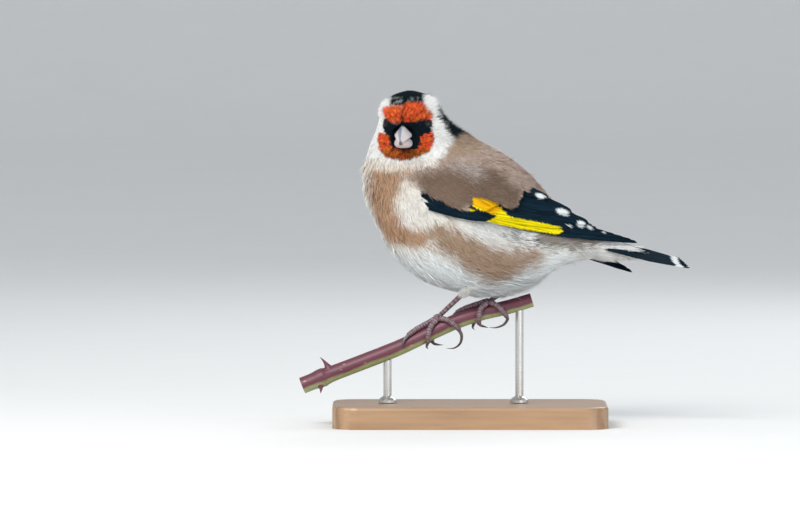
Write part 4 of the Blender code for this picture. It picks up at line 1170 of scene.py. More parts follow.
class Vanes:
    """Gathers the webs of flight feathers, with the numbers that their finish reads."""

    def __init__(self, draw):
        self.draw = draw
        self.points, self.quads, self.count = [], [], 0
        self.values = {k: [] for k in ("run", "aside", "yellow", "pale", "tone", "warm")}
        self.islands = []

    def add(self, surface, root, tip, half_width, lifts, end=round_end, bow=0.0, marks=None,
            cup=0.28, ragged=0.05):
        """One feather with shaft, cupped web and slightly uneven edges, on a surface."""
        root, tip = np.array(root, float), np.array(tip, float)
        run = tip - root
        size = np.linalg.norm(run)
        aside = np.array((-run[1], run[0])) / size
        rows, columns = max(12, int(size / VANE_STEP)), VANE_COLUMNS
        share = np.linspace(0, 1, rows) ** 0.94
        across = np.linspace(-1, 1, columns)
        s, c = np.meshgrid(share, across, indexing="ij")
        edge = 1 + ragged * waves(np.stack([s * size * 1.3, c * 0.4, s * 0 + self.count], -1)
                                  .reshape(-1, 3), 1.6, 3).reshape(s.shape) * np.abs(c) ** 3
        reach = half_width * end(s) * c * edge
        reach = reach + 0.10 * half_width * smooth(0.2, 0.8, s)
        line = root + run * s[..., None] + aside * (bow * 4 * s * (1 - s))[..., None]
        flat = line + aside * reach[..., None]
        slant = 0.8 * np.abs(c) * half_width * smooth(1.0, 0.9, s)
        lift = lifts[0] + (lifts[1] - lifts[0]) * s
        lift = lift + 0.16 * np.exp(-((c / 0.11) ** 2)) * (1 - 0.7 * s) - cup * c**2
        lift = lift + 0.05 * waves(flat.reshape(-1, 2) @ np.eye(2, 3) + self.count, 0.9, 4).reshape(s.shape)
        top = surface(flat[..., 0], flat[..., 1], lift + VANE_SHEET)
        low = surface(flat[..., 0], flat[..., 1], lift - VANE_SHEET)
        points = np.concatenate([top, low]).reshape(-1, 3)
        n = rows * columns
        quads = grid_faces(rows, columns)
        grid = np.arange(n).reshape(rows, columns)
        rim = np.concatenate([grid[:, 0], grid[-1, 1:], grid[-2::-1, -1], grid[0, -2:0:-1]])
        ahead = np.roll(rim, -1)
        sides = np.stack([rim, rim + n, ahead + n, ahead], axis=1)
        faces = np.concatenate([quads, quads[:, ::-1] + n, sides])
        marks = marks or {}
        yellow, pale = marks.get("yellow", unmarked), marks.get("pale", unmarked)
        shift = self.draw.uniform(-0.5, 0.5)
        values = {
            "run": s * size - slant,
            "aside": c * half_width,
            "yellow": yellow(flat[..., 0] + shift, flat[..., 1]),
            "pale": pale(flat[..., 0], flat[..., 1]),
            "tone": np.full(s.shape, self.draw.uniform(0.8, 1.2)),
            "warm": smooth(-0.6, 0.9, inside(YELLOW_COVERTS, flat[..., 0], flat[..., 1])),
        }
        for key, value in values.items():
            self.values[key].append(np.tile(np.ravel(value), 2))
        self.islands.append((size, half_width * 2, np.tile(np.stack([s, c], -1).reshape(-1, 2), (2, 1))))
        self.points.append(points)
        self.quads.append(faces + self.count)
        self.count += len(points)

    def unwrap(self):
        """Lays each feather's web in a strip of its own on the flat map."""
        columns = max(1, int(math.ceil(math.sqrt(len(self.islands) / 4))))
        rows = int(math.ceil(len(self.islands) / columns))
        places = []
        for k, (_size, _wide, own) in enumerate(self.islands):
            left, low = (k % columns) / columns, (k // columns) / rows
            u = left + (0.04 + 0.92 * own[:, 0]) / columns
            v = low + (0.5 + 0.44 * own[:, 1]) / rows
            places.append(np.stack([u, v], axis=1))
        return np.concatenate(places)

    def piece(self, name, slot, nodes, move=None):
        """The gathered feathers as one piece, mirrored and moved if asked."""
        points = np.concatenate(self.points)
        quads = np.concatenate(self.quads)
        if move is not None:
            points, quads = moved(points, move), quads[:, ::-1]
        made = new_piece(name, points, [quads], [flight_finish()], nodes)
        for key, value in self.values.items():
            store(made, key, np.concatenate(value))
        bake_map(made, self.unwrap())
        made.data.set_sharp_from_angle(angle=math.radians(60))
        return made


def wing_surface(x, z, lift):
    """Points on the near wing's surface, in the shape of x."""
    places, _out = wing_place(x, z, lift)
    return places.reshape(*np.shape(x), 3)


def yellow_on(x, z):
    """Distance into the yellow of the wing."""
    bands = [inside(p, x, z) for p in (YELLOW_COVERTS, YELLOW_BAND, YELLOW_DOT)]
    return np.max(bands, axis=0)


def pale_on(x, z):
    """Distance into the pale feather tips."""
    best = unmarked(x, z)
    lie = math.radians(-24)
    for sx, sz, half_long, half_high in TIP_SPOTS:
        u = (x - sx) * math.cos(lie) + (z - sz) * math.sin(lie)
        v = -(x - sx) * math.sin(lie) + (z - sz) * math.cos(lie)
        gap = np.sqrt((u / half_long) ** 2 + (v / half_high) ** 2)
        best = np.maximum(best, (1 - gap) * half_high)
    return best


PRIMARY_TIPS = [(58.6, 24.9), (61.2, 24.7), (60.6, 25.2), (58.6, 26.0), (55.6, 26.9)]
PRIMARY_TIPS += [(52.4, 27.9), (49.4, 28.8), (46.4, 29.6), (43.6, 30.3)]


TERTIALS = [((8.0, 41.6), (42.2, 31.3), 2.2), ((9.0, 45.0), (36.0, 34.9), 2.2)]
TERTIALS += [((10.0, 47.4), (27.4, 39.9), 1.8)]


def fill_wing(draw):
    """Every feather of the near wing's open part, tier over tier."""
    vanes = Vanes(draw)
    marks = {"yellow": yellow_on, "pale": pale_on}
    for i, tip in enumerate(PRIMARY_TIPS):
        root = (2.0 + 1.0 * i, 35.0 + 0.3 * i)
        lifts = (-0.5, -1.5 + 0.22 * i)
        vanes.add(wing_surface, root, tip, 1.75, lifts, pointed_end, -0.35, marks)

    def tier(count, root, tip, steps, half, lifts, rise, end=pointed_end, **kind):
        for i in range(count):
            ends = np.array((*root, *tip)) + np.array(steps) * i
            standing = (lifts[0], lifts[1] + rise * i)
            vanes.add(wing_surface, ends[:2], ends[2:], half, standing, end, marks=marks, **kind)

    tier(7, (4.0, 36.4), (45.6, 30.1), (0.9, 0.75, -1.6, 0.84), 2.1, (0.0, 0.42), 0.19, bow=-0.2)
    for i, (root, tip, half) in enumerate(TERTIALS):
        vanes.add(wing_surface, root, tip, half, (-0.9, 1.75 + 0.2 * i), blunt_end, 0.3, marks)
    tier(4, (-18.6, 40.4), (-3.0, 36.0), (1.1, 0.8, -2.0, 0.95), 1.6, (0.1, 0.75), 0.2)
    tier(8, (-15.0, 37.9), (9.8, 32.6), (1.4, 0.3, -1.2, 0.6), 1.45, (0.0, 0.5), 0.1)
    tier(9, (-7.0, 41.3), (4.8, 36.3), (1.65, 0.5, 1.15, 0.62), 1.7, (0.4, 1.0), 0.06, round_end,
         ragged=0.12)
    return vanes


def flight_finish():
    """Black webs with painted blue sheen streaks of sky reflection, clean-edged yellow and pale marks and
    slanting barbs.
    """
    found = bpy.data.materials.get("flight_feathers")
    if found:
        return found
    kit = plumage_kit()
    finish, tree, shader = new_finish("flight_feathers", 0.6, Specular_IOR_Level=0.02)
    barbs = use(tree, feather_barbs, Spacing=14.0, Slant=0.7)
    fray = sums(tree, "MULTIPLY_ADD", barbs["Mask"], 1.3, -0.65)

    def marked(name, soft):
        return ranged(tree, sums(tree, "ADD", reading(tree, name), fray), -soft, soft)

    # Painted reflection: black streaked with the blue sheen along the barbs.
    black = blend(tree, ranged(tree, barbs["Streak"], 0.42, 0.72), kit.flight, PAINTED_BLUE_SHEEN)
    bright = blend(tree, reading(tree, "warm"), kit.yellow, kit.gold)
    lined = vectors(tree, "SCALE", bright, Scale=ranged(tree, barbs["Streak"], 0.33, 0.60, 0.42))
    tint = blend(tree, marked("yellow", 0.22), black, lined)
    tint = blend(tree, marked("pale", 0.2), tint, kit.tip_white)
    tone_over(tree, shader, tint, 700.0, 0.22)
    bump_from(tree, shader, barbs["Height"], 0.28, 0.03)
    return finish


def wing_underlay():
    """The skin under a wing's feathers, from its bend to the flight feathers' roots."""
    step = 0.9
    x, z = np.meshgrid(np.arange(-27, 46, step), np.arange(26, 60, step), indexing="ij")
    cover = inside(WING_COVER, x, z)
    bare = inside(OPEN_WING, x, z)
    lift = cover_lift(x, z) - 0.35
    lift = np.where(bare > cover, -1.1, lift)
    places = wing_surface(x, z, lift)
    show = np.maximum(cover, bare - 1.0) > 0.0
    quads = grid_faces(*x.shape)
    keep = show.ravel()[quads].all(axis=1)
    return places.reshape(-1, 3), quads[keep], bare.ravel()


def cover_lift(x, z):
    """How far the scapulars' surface stands off the wing's: sunk at its front and top edge."""
    edge = inside(WING_COVER, x, z)
    bare = -inside(OPEN_WING, x, z)
    rise = 2.2 * smooth(0.0, 5.5, edge + 4.0 * smooth(3.0, 0.0, bare))
    return -1.5 + rise + 1.7 * smooth(7, 0, bare) * smooth(2, 10, x)


def wing_unwrap(x, z):
    """The place on the flat map of points on a wing."""
    return np.stack([0.1 + (x + 30) / 90, 0.1 + (z - 20) / 60], axis=1)


def wing_cover_feathers(kit, draw):
    """Roots, lie and colours of the scapulars and small coverts on the near wing."""
    x = draw.uniform(-26, 18, COVER_FEATHERS * 3)
    z = draw.uniform(35, 58, COVER_FEATHERS * 3)
    keep = inside(WING_COVER, x, z) > 0.2
    x, z = x[keep][:COVER_FEATHERS], z[keep][:COVER_FEATHERS]
    count = len(x)
    sizes = draw.uniform(5.0, 7.4, count) * (0.75 + 0.25 * smooth(-24, -8, x))
    slope = np.interp(x, [-26, -14, 0, 18], [-1.25, -0.62, -0.42, -0.36])
    slope = slope + waves(np.stack([x, z, z * 0], 1), 0.5, kit.seed + 4) * 0.10
    angle = np.arctan(slope) + draw.normal(0, 0.07, count)
    for _ in range(5):
        tips = np.stack([x + np.cos(angle) * sizes, z + np.sin(angle) * sizes], axis=1)
        over = inside(OPEN_WING, tips[:, 0], tips[:, 1]) > draw.uniform(0.2, 1.5, count)
        sizes = np.where(over, sizes * 0.72, sizes)
    keep = (inside(OPEN_WING, x, z) < 0.4) & (sizes > 1.6)
    x, z, sizes, angle = x[keep], z[keep], sizes[keep], angle[keep]
    guides, ups = [], []
    for k, share in enumerate(GUIDE_SHARES):
        gx, gz = x + np.cos(angle) * sizes * share, z + np.sin(angle) * sizes * share
        lift = cover_lift(gx, gz) + 0.10 * k
        places, out = wing_place(gx, gz, lift)
        guides.append(places)
        ups.append(out)
    guides, ups = np.stack(guides, axis=1), np.stack(ups, axis=1)
    tints = body_tint(guides[:, 2], kit)
    return guides, ups, sizes, tints, np.stack([x, z], axis=1)


class GOLDFINCH_OT_wings(bpy.types.Operator):
    """Builds both folded wings, feather by feather"""

    bl_idname = "goldfinch.wings"
    bl_label = "Build the wings"

    def execute(self, context):
        kit = plumage_kit()
        draw = np.random.default_rng(kit.seed + 20)
        vanes = fill_wing(draw)
        places, quads, bare = wing_underlay()
        guides, ups, sizes, tints, flat = wing_cover_feathers(kit, draw)
        # Painted shade: the skin under the wing's coverts takes the plumage's colour darkened to 0.8; by the
        # open wing it takes the flight feathers' black.
        under_tint = body_tint(places, kit) * 0.8
        under_tint = np.where(bare[:, None] > -2.0, kit.flight, under_tint)
        width = kit.blade_width / MM * 0.9
        style = lock_style(10, 0.05, 0.42, width, 0.17, 0.12 + 0.09 * sizes, 0.09)
        root_places = wing_unwrap(flat[:, 0], flat[:, 1])
        for side, move in (("left", None), ("right", FAR_WING)):
            vanes.piece("wing_feathers_" + side, "wing_plumage", ["wing_" + side], move)
            own, faces = places, quads
            own_guides, own_ups = guides, ups
            if move is not None:
                own, faces = moved(own, move), faces[:, ::-1]
                own_guides = moved(guides.reshape(-1, 3), move).reshape(guides.shape)
                own_ups = (ups.reshape(-1, 3) @ move[:3, :3].T).reshape(ups.shape)
            under = new_piece("wing_skin_" + side, own, [faces], [plumage_finish()])
            store(under, "tint", under_tint)
            bake_map(under, wing_unwrap(places[:, 0], places[:, 2]))
            make_coat(
                "scapulars_" + side, own_guides, own_ups, style, tints, root_places,
                np.random.default_rng(kit.seed + 21),
            )
        return {"FINISHED"}


# Tail.

TAIL_ROOT = (45.5, 25.8)
TAIL_LENGTH = 31.5
TAIL_DROP = math.radians(12.2)
TAIL_ROOF = math.radians(22)
TAIL_PAIRS = 6
COVERTS = 520


def tail_surface(side, pair):
    """Places points along, across and above one tail feather."""
    fan = math.radians(0.5 + 1.15 * pair) * side
    forward = Vector((math.cos(TAIL_DROP), 0.0, -math.sin(TAIL_DROP)))
    forward = Matrix.Rotation(fan, 3, "Z") @ forward
    across = Vector((0.0, math.cos(TAIL_ROOF) * side, -math.sin(TAIL_ROOF)))
    across = (across - forward * across.dot(forward)).normalized()
    up = np.array(forward.cross(across) * side)
    start = np.array((TAIL_ROOT[0], 0.35 * side * pair, TAIL_ROOT[1] - 0.1 * pair))
    forward, across = np.array(forward), np.array(across)

    def place(run, aside, lift):
        run, aside, lift = (np.asarray(v)[..., None] for v in (run, aside, lift))
        return start + forward * run + across * aside + up * lift

    return place


def tail_tip_pale(x, z):
    """Distance into the white patch before a tail feather's dark tip."""
    return 1.3 - np.abs(x - 29.0 + 0.5 * np.sin(z * 3.0) + 0.3 * np.sin(z * 7.0))


class GOLDFINCH_OT_tail(bpy.types.Operator):
    """Builds the twelve tail feathers and the long coverts over and under them"""

    bl_idname = "goldfinch.tail"
    bl_label = "Build the tail"

    def execute(self, context):
        kit = plumage_kit()
        draw = np.random.default_rng(kit.seed + 30)
        vanes = Vanes(draw)
        for pair in range(TAIL_PAIRS):
            length = TAIL_LENGTH + 0.85 * pair
            for side in (1, -1):
                middle = 1.2 + 0.32 * pair
                lifts = (0.05 - 0.1 * pair, 0.3 - 0.27 * pair - 0.02 * side)
                late = 0.85 * pair
                marks = {"pale": lambda x, z, late=late: tail_tip_pale(x - late * 0.65, z)}
                vanes.add(
                    tail_surface(side, pair), (0.0, middle), (length, middle), 2.3, lifts,
                    pointed_end, 0.0, marks, cup=0.2,
                )
        vanes.piece("tail_feathers", "tail_plumage", ["tail"])
        self.coverts(kit, draw)
        return {"FINISHED"}

    def coverts(self, kit, draw):
        """Long soft feathers over and under the tail's root."""
        count = COVERTS
        turn = draw.uniform(0, 2 * math.pi, count)
        start = draw.uniform(43, 57, count)
        share = (start - 40) / 20
        high = np.interp(start, [40, 50, 60], [27.4, 25.3, 23.6])
        low = np.interp(start, [40, 50, 60], [17.9, 19.0, 20.0])
        middle, half = (high + low) / 2, (high - low) / 2
        wide = np.interp(start, [40, 50, 60], [6.2, 4.4, 3.0])
        up = np.stack([np.zeros(count), np.sin(turn) / wide, np.cos(turn) / half], axis=1)
        up = unit(up)
        roots = np.stack([start, np.sin(turn) * wide, middle + np.cos(turn) * half], axis=1)
        roots = roots - up * 0.7
        way = unit(np.stack([np.ones(count), -0.08 * np.sin(turn), -0.13 - 0.02 * share], axis=1))
        sizes = draw.uniform(7.0, 10.5, count) * np.where(np.cos(turn) > 0, 0.85, 1.0)
        sizes = np.minimum(sizes, np.where(np.cos(turn) > 0, 59.0, 64.5) - start)
        guides = straight(roots, way, sizes)
        ups = np.repeat(up[:, None], GUIDE_POINTS, axis=1)
        style = lock_style(12, 0.0, 0.35, 0.28, 0.10, 1.0, 0.05)
        upper = smooth(0.1, 0.4, np.cos(turn))
        white = np.tile(kit.white, (count, 1))
        tints = mix(white, (0.42, 0.40, 0.41), upper * draw.uniform(0.2, 1.0, count))
        dark = (draw.uniform(0, 1, count) < 0.25) * upper * smooth(50, 54, start)
        tints = mix(tints, (0.03, 0.03, 0.035), dark)
        places = np.stack([0.2 + turn / 8, 0.95 - share * 0.02], axis=1)
        make_coat("tail_coverts", guides, ups, style, tints, places, draw)


# Eyes and lids.

EYE_OPENING = 1.15  # half width of the part of an eye that shows
EYE_PROUD = 0.25  # how far the lids stand off the skin


def eye_axes(side):
    """Middle of an eye, its outward direction, and its across and up directions."""
    centre = np.mean(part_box("eye_" + side), axis=0) / MM - GRIP
    gap = np.linalg.norm(BODY.points.reshape(-1, 3) - centre, axis=1)
    nearest = np.argsort(gap)[:40]
    out = unit(BODY.normals.reshape(-1, 3)[nearest].mean(axis=0))
    up = unit(np.array((0.0, 0.0, 1.0)) - out * out[2])
    return centre, out, np.cross(out, up), up


def beside_eye(points, side):
    """Distance from the line that an eye looks along, large behind the eye."""
    centre, out, _across, _up = eye_axes(side)
    rel = points - centre
    beside = np.linalg.norm(rel - np.outer(rel @ out, out), axis=1)
    return np.where(rel @ out < 0, 9.0, beside)


def eye_finish():
    """Dark brown iris round a black pupil, smooth and wet."""
    finish, tree, shader = new_finish("dark_eye", 0.05, Specular_IOR_Level=0.32)
    pupil = (0.004, 0.0035, 0.003)
    stops = [(0.0, pupil), (0.56, pupil), (0.62, (0.035, 0.017, 0.008)), (0.90, (0.020, 0.010, 0.006))]
    tone_over(tree, shader, ramped(tree, reading(tree, "gaze"), stops), 2600.0, 0.4)
    return finish


def lid_finish():
    """Bare dark rim of skin with fine wrinkles."""
    finish, tree, shader = new_finish("lid_skin", 0.6, Specular_IOR_Level=0.2)
    mask = tone_over(tree, shader, (0.006, 0.008, 0.011), 1500.0, 0.8)
    bump_from(tree, shader, mask, 0.5, 0.06)
    return finish


class GOLDFINCH_OT_eyes(bpy.types.Operator):
    """Builds the eyes and their lids"""

    bl_idname = "goldfinch.eyes"
    bl_label = "Build the eyes"

    def execute(self, context):
        glass, rim = eye_finish(), lid_finish()
        skin = skin_points(plumage_kit()).reshape(-1, 3)
        for side in SIDES:
            centre, out, across, up = eye_axes(side)
            near = beside_eye(skin, side) < 1.4
            level = float(np.median((skin[near] - centre) @ out)) + EYE_PROUD
            size = math.hypot(level, EYE_OPENING)
            polar, turn = ball_angles(33, 48)
            ball = out * np.cos(polar)[..., None] + across * (np.sin(polar) * np.cos(turn))[..., None]
            ball = ball + up * (np.sin(polar) * np.sin(turn))[..., None]
            eye = new_piece("eyeball_" + side, centre + (ball * size).reshape(-1, 3),
                            [grid_faces(33, 48, True)], [glass], ["eye_" + side])
            store(eye, "gaze", np.clip(np.sin(polar) * (polar < 1.57) + (polar >= 1.57), 0, 1).ravel())
            around = np.arange(64) / 64 * 2 * math.pi
            radial = across * np.cos(around)[:, None] + up * np.sin(around)[:, None]
            wide = math.atan2(EYE_OPENING + 0.35, level)
            open_way = (wide - 0.04 * np.abs(np.sin(around)) ** 1.5)[:, None]
            away = out * np.cos(open_way) + radial * np.sin(open_way)
            slide = radial * np.cos(open_way) - out * np.sin(open_way)
            wire = np.arange(14) / 14 * 2 * math.pi
            rings = centre + away[:, None] * (size - 0.02 + 0.15 * np.sin(wire))[None, :, None]
            rings = rings + slide[:, None] * (0.40 * np.cos(wire))[None, :, None]
            quads = grid_faces(65, 14, True) % (64 * 14)
            new_piece("lids_" + side, rings.reshape(-1, 3), [quads], [rim])
        return {"FINISHED"}


# Bill.


def bill_axes():
    """The bill's forward, left and up directions."""
    forward = unit(BILL_TIP - BILL_BASE)
    left = unit(np.cross((0.0, 0.0, 1.0), forward))
    return forward, left, np.cross(forward, left)


BRISTLES = 260
# Half sections of the bill at its base, from the ridge or the keel to the cutting edge.
CULMEN = [(0, 4.15), (0.55, 3.9), (1.3, 3.05), (2.2, 2.0), (3.0, 1.05), (3.4, 0.4), (3.3, -0.2)]
CULMEN += [(2.9, -0.65), (2.25, -0.9)]
KEEL = [(0, -4.75), (1.7, -4.65), (2.9, -4.3), (3.5, -3.6), (3.65, -2.8), (3.4, -1.9), (2.9, -1.25)]
KEEL += [(2.4, -0.85)]


def mandible(upper):
    """Half of the bill as a fine shell: points, quads, and where each point is on it."""
    forward, left, up = bill_axes()
    size = np.linalg.norm(BILL_TIP - BILL_BASE) * (1.0 if upper else 0.93)
    shares = np.concatenate([np.linspace(-0.06, 0.9, 40), np.linspace(0.91, 1.0, 10)])
    half = along(CULMEN if upper else KEEL, np.linspace(0, 8 if upper else 7, 25))
    mirror = half[::-1] * (-1, 1)
    section = np.concatenate([mirror[:-1], half])
    close = section[-1] + (section[0] - section[-1]) * np.linspace(0, 1, 9)[1:-1, None]
    section = np.concatenate([section, close])
    round_way = np.abs(np.concatenate([np.linspace(-1, 1, 49), np.ones(7)]))
    points, marks = [], []
    for s in shares:
        ahead = min(max(s, 0.0), 1.0)
        wide = max(0.04, (1 - ahead) ** 0.95 * (1 + 0.10 * math.sin(math.pi * ahead)))
        tall = max(0.04, (1 - ahead) ** 0.85 * (1 + 0.13 * math.sin(math.pi * ahead)))
        rest = 0.06 if upper else -0.06
        centre = BILL_BASE + forward * size * s + up * (rest - (0.35 * s * s if upper else 0.0))
        ring = centre + left * (section[:, :1] * wide) + up * (section[:, 1:] * tall)
        points.append(ring)
        marks.append(np.stack([np.full(len(ring), ahead), section[:, 0] / 3.65, round_way], axis=1))
    return np.concatenate(points), grid_faces(len(shares), len(section), True), np.concatenate(marks)


def horn_finish():
    """Pale horn, finely lined, with a dusky ridge and tip and with painted shade: the ridge's stripe sits on
    its left facet in blue-grey, the tip is darkened further for the shadow of the mouth's opening, and the
    mouth line is dark.
    """
    depth = {"Subsurface_Weight": 0.1, "Subsurface_Radius": (0.6, 0.35, 0.3), "Subsurface_Scale": 0.0012}
    finish, tree, shader = new_finish("pale_horn", 0.42, Specular_IOR_Level=0.35, **depth)
    tone = use(tree, uneven_tone, Scale=520.0, Amount=0.22, Color=(0.47, 0.44, 0.46))
    # Layers: paler horn towards the middle; the dusky ridge, on its left facet and blue-grey as painted
    # shade; the dusky tip, darkened further as painted shadow at the mouth's opening; painted shade in the
    # crease along the mouth line.
    layers = [
        ("along", 0.05, 0.5, 0.7, (0.66, 0.58, 0.57)),
        ("ridge", 0.15, 0.85, 0.85, (0.12, 0.19, 0.26)),
        ("along", 0.76, 0.90, 0.9, (0.07, 0.045, 0.045)),
        ("edge", 0.86, 0.97, 0.7, (0.10, 0.085, 0.10)),
    ]
    horn = tone["Color"]
    for name, low, high, most, tint in layers:
        share = ranged(tree, reading(tree, name), low, high, interpolation_type="SMOOTHSTEP")
        horn = blend(tree, sums(tree, "MULTIPLY", share, most), horn, tint)
    feed(tree, shader.inputs["Base Color"], horn)
    bump_from(tree, shader, tone["Mask"], 0.12, 0.05)
    return finish


class GOLDFINCH_OT_bill(bpy.types.Operator):
    """Builds both halves of the bill and the bristles at its root"""

    bl_idname = "goldfinch.bill"
    bl_label = "Build the bill"

    def execute(self, context):
        kit = plumage_kit()
        horn = horn_finish()
        for name, upper in (("upper", True), ("lower", False)):
            points, quads, marks = mandible(upper)
            half = new_piece("horn_" + name, points, [quads], [horn], ["bill_" + name])
            run, aside, edge = marks.T
            # The ridge's stripe: the dusky culmen, moved onto the left facet as painted shade.
            ridge = np.exp(-(((aside + 0.26) / 0.36) ** 2)) * smooth(0.05, 0.3, run) * upper
            ridge *= edge < 0.8
            for key, value in (("along", run), ("ridge", ridge), ("edge", edge)):
                store(half, key, value)
        forward, left, up = bill_axes()
        draw = np.random.default_rng(kit.seed + 40)
        count = BRISTLES
        turn = draw.uniform(0, 2 * math.pi, count)
        radial = left * np.cos(turn)[:, None] + up * np.sin(turn)[:, None]
        wide = 3.3 * np.sqrt(np.cos(turn) ** 2 + 1.35 * np.sin(turn) ** 2)
        roots = BILL_BASE + forward * draw.uniform(0.2, 1.3, count)[:, None]
        roots = roots - up * 0.2 + radial * (wide + draw.uniform(-0.25, 0.6, count))[:, None]
        over = smooth(0.2, 0.8, np.sin(turn))
        way = unit(forward + radial * (0.55 - 0.5 * over)[:, None])
        sizes = draw.uniform(0.9, 1.7, count) + 0.9 * over
        guides = straight(roots, way, sizes)
        style = lock_style(6, 0.0, 0.12, 0.13, 0.2, 0.12, 0.1)
        tints = np.tile(kit.black * 1.2, (count, 1))
        places = np.full((count, 2), 0.5)
        ups = np.repeat(radial[:, None], GUIDE_POINTS, axis=1)
        make_coat("bill_bristles", guides, ups, style, tints, places, draw)
        return {"FINISHED"}


# Perch.

PERCH_Y = 0.8
PERCH_LINE = [(-61, -27.6), (-50, -23.2), (-38, -18.6), (-25, -13.4), (-14, -8.2)]
PERCH_LINE += [(-5, -4.2), (4, -1.3), (13, 0.8), (22.5, 3.6)]
LEAF_SCAR = -54.0
THORNS = [(-50.6, 8, 4.4, -1.4), (-55.2, 150, 2.4, -1.0), (-34.0, -100, 3.2, -1.2)]


def perch_middle(x):
    """Middle of the stem at x, and its direction there."""
    table = np.array(PERCH_LINE, float)
    t = np.interp(np.atleast_1d(x), table[:, 0], np.arange(len(table)))
    here = along(table, t)
    run = along(table, t + 0.05) - along(table, t - 0.05)
    middle = np.stack([here[:, 0], np.full(len(t), PERCH_Y), here[:, 1]], axis=1)
    return middle, unit(np.stack([run[:, 0], np.zeros(len(t)), run[:, 1]], axis=1))


def perch_reach(x):
    """The stem's radius at x: swollen at the leaf scar, and thinner to the right."""
    x = np.atleast_1d(np.asarray(x, float))
    radius = bpy.context.scene.goldfinch_perch.radius / MM
    scar = np.exp(-(((x - LEAF_SCAR) / 2.2) ** 2))
    return radius - 0.3 * np.minimum(x, 0) / 60 - 0.2 * np.maximum(x, 0) / 22 + 0.45 * scar


def on_perch(x, angle, clear):
    """Points round the stem: angle 0 is its top and 90 the viewer's side, in degrees."""
    middle, run = perch_middle(x)
    viewer = np.array((0.0, -1.0, 0.0))
    top = unit(np.cross(viewer, run))
    top = top * np.sign(top[:, 2:3])
    turn = np.radians(np.atleast_1d(angle))[:, None]
    radial = top * np.cos(turn) + viewer * np.sin(turn)
    return middle + radial * (perch_reach(x) + np.atleast_1d(clear))[:, None]


def bark_finish():
    """Smooth young briar bark: wine-red in the light, green below, with fine lines and pores."""
    kit = Kit(bpy.context.scene.goldfinch_perch)
    finish, tree, shader = new_finish("young_bark", 0.46, Coat_Weight=0.12, Coat_Roughness=0.45)
    place = object_place(tree)
    wander = noise(tree, Vector=place, Scale=120.0, Detail=4.0)
    offset = sums(tree, "MULTIPLY_ADD", wander, 0.5, -0.25)
    level = sums(tree, "ADD", reading(tree, "light"), offset)
    sides = blend(tree, ranged(tree, level, -0.58, -0.24), kit.shade, kit.bark)
    drawn = vectors(tree, "MULTIPLY", place, (0.45, 1.0, 1.0))
    pores = add_node(tree, "ShaderNodeTexVoronoi", Vector=drawn, Scale=420.0, Randomness=1.0)
    dots = ranged(tree, pores.outputs["Distance"], 0.16, 0.08)
    pored = blend(tree, dots, sides, (0.36, 0.24, 0.17))
    mask = tone_over(tree, shader, pored, 260.0, 0.55, (0.25, 1.0, 1.0))
    bump_from(tree, shader, sums(tree, "ADD", mask, dots), 0.3, 0.10)
    return finish


def cut_wood_finish():
    """The cut end of the stem: pale wood with rings round a soft pith."""
    finish, tree, shader = new_finish("stem_cut", 0.7)
    stops = [(0.0, (0.42, 0.30, 0.18)), (0.25, (0.55, 0.45, 0.30)), (0.30, (0.62, 0.58, 0.40))]
    stops += [(0.84, (0.50, 0.50, 0.30)), (0.90, (0.16, 0.20, 0.07)), (1.0, (0.12, 0.05, 0.06))]
    mask = tone_over(tree, shader, ramped(tree, reading(tree, "ring"), stops), 900.0, 0.4)
    bump_from(tree, shader, mask, 0.4, 0.08)
    return finish


def thorn_shell(x, angle, height, lean):
    """Points and quads of a broad-footed thorn that curves back along the stem."""
    _middle, run = perch_middle(x)
    s = np.linspace(0, 1, 18)
    feet = on_perch(np.full(18, x), np.full(18, angle), -1.0 + (height + 1.0) * s)
    path = feet + run * (lean * s * s)[:, None]
    radii = np.interp(s, [0, 0.18, 0.3, 0.5, 0.75, 1.0], [2.1, 1.35, 0.98, 0.62, 0.34, 0.05])
    return tube(path, radii, 22)


class GOLDFINCH_OT_perch(bpy.types.Operator):
    """Builds the cut briar stem with its leaf scar and thorns"""

    bl_idname = "goldfinch.perch"
    bl_label = "Build the perch"

    def execute(self, context):
        xs = np.linspace(PERCH_LINE[0][0], PERCH_LINE[-1][0], 200)
        sides = 48
        turn = np.degrees(2 * math.pi * np.arange(sides) / sides)
        x, angle = np.meshgrid(xs, turn, indexing="ij")
        bumps = waves(np.stack([x * 0.35, np.cos(np.radians(angle)) * 2,
                                np.sin(np.radians(angle)) * 2], -1).reshape(-1, 3), 0.9, 50)
        rim = 0.16 * np.exp(-(((x.ravel() - LEAF_SCAR - 0.9) / 0.35) ** 2))
        points = on_perch(x.ravel(), angle.ravel(), 0.07 * bumps + rim)
        heap = Heap()
        heap.add(points, grid_faces(len(xs), sides, True), np.cos(np.radians(angle.ravel())))
        for x0, a0, height, lean in THORNS:
            shell, quads = thorn_shell(x0, a0, height, lean)
            heap.add(shell, quads, np.full(len(shell), 0.6))
        bark_faces = sum(len(q) for q in heap.quads)
        rings = [np.zeros(heap.count)]
        for row, way in ((0, 1), (len(xs) - 1, -1)):
            rim_points = points.reshape(len(xs), sides, 3)[row]
            middle, run = perch_middle(xs[row])
            shares = np.linspace(1, 0.02, 14)
            disc = middle + (rim_points[None] - middle) * shares[:, None, None]
            disc = disc - run * way * 0.12 * (1 - shares[:, None, None] ** 8)
            quads = grid_faces(14, sides, True)
            heap.add(disc.reshape(-1, 3), quads if way < 0 else quads[:, ::-1], np.zeros(14 * sides))
            rings.append(np.repeat(shares, sides))
        count = sum(len(q) for q in heap.quads)
        finish_of = (np.arange(count) >= bark_faces).astype(int)
        stem = new_piece("briar_stem", np.concatenate(heap.points), heap.quads,
                         [bark_finish(), cut_wood_finish()], ["perch"], finish_of)
        store(stem, "light", np.concatenate(heap.tints))
        store(stem, "ring", np.concatenate(rings))
        stem.data.set_sharp_from_angle(angle=math.radians(50))
        return {"FINISHED"}


# Feet.

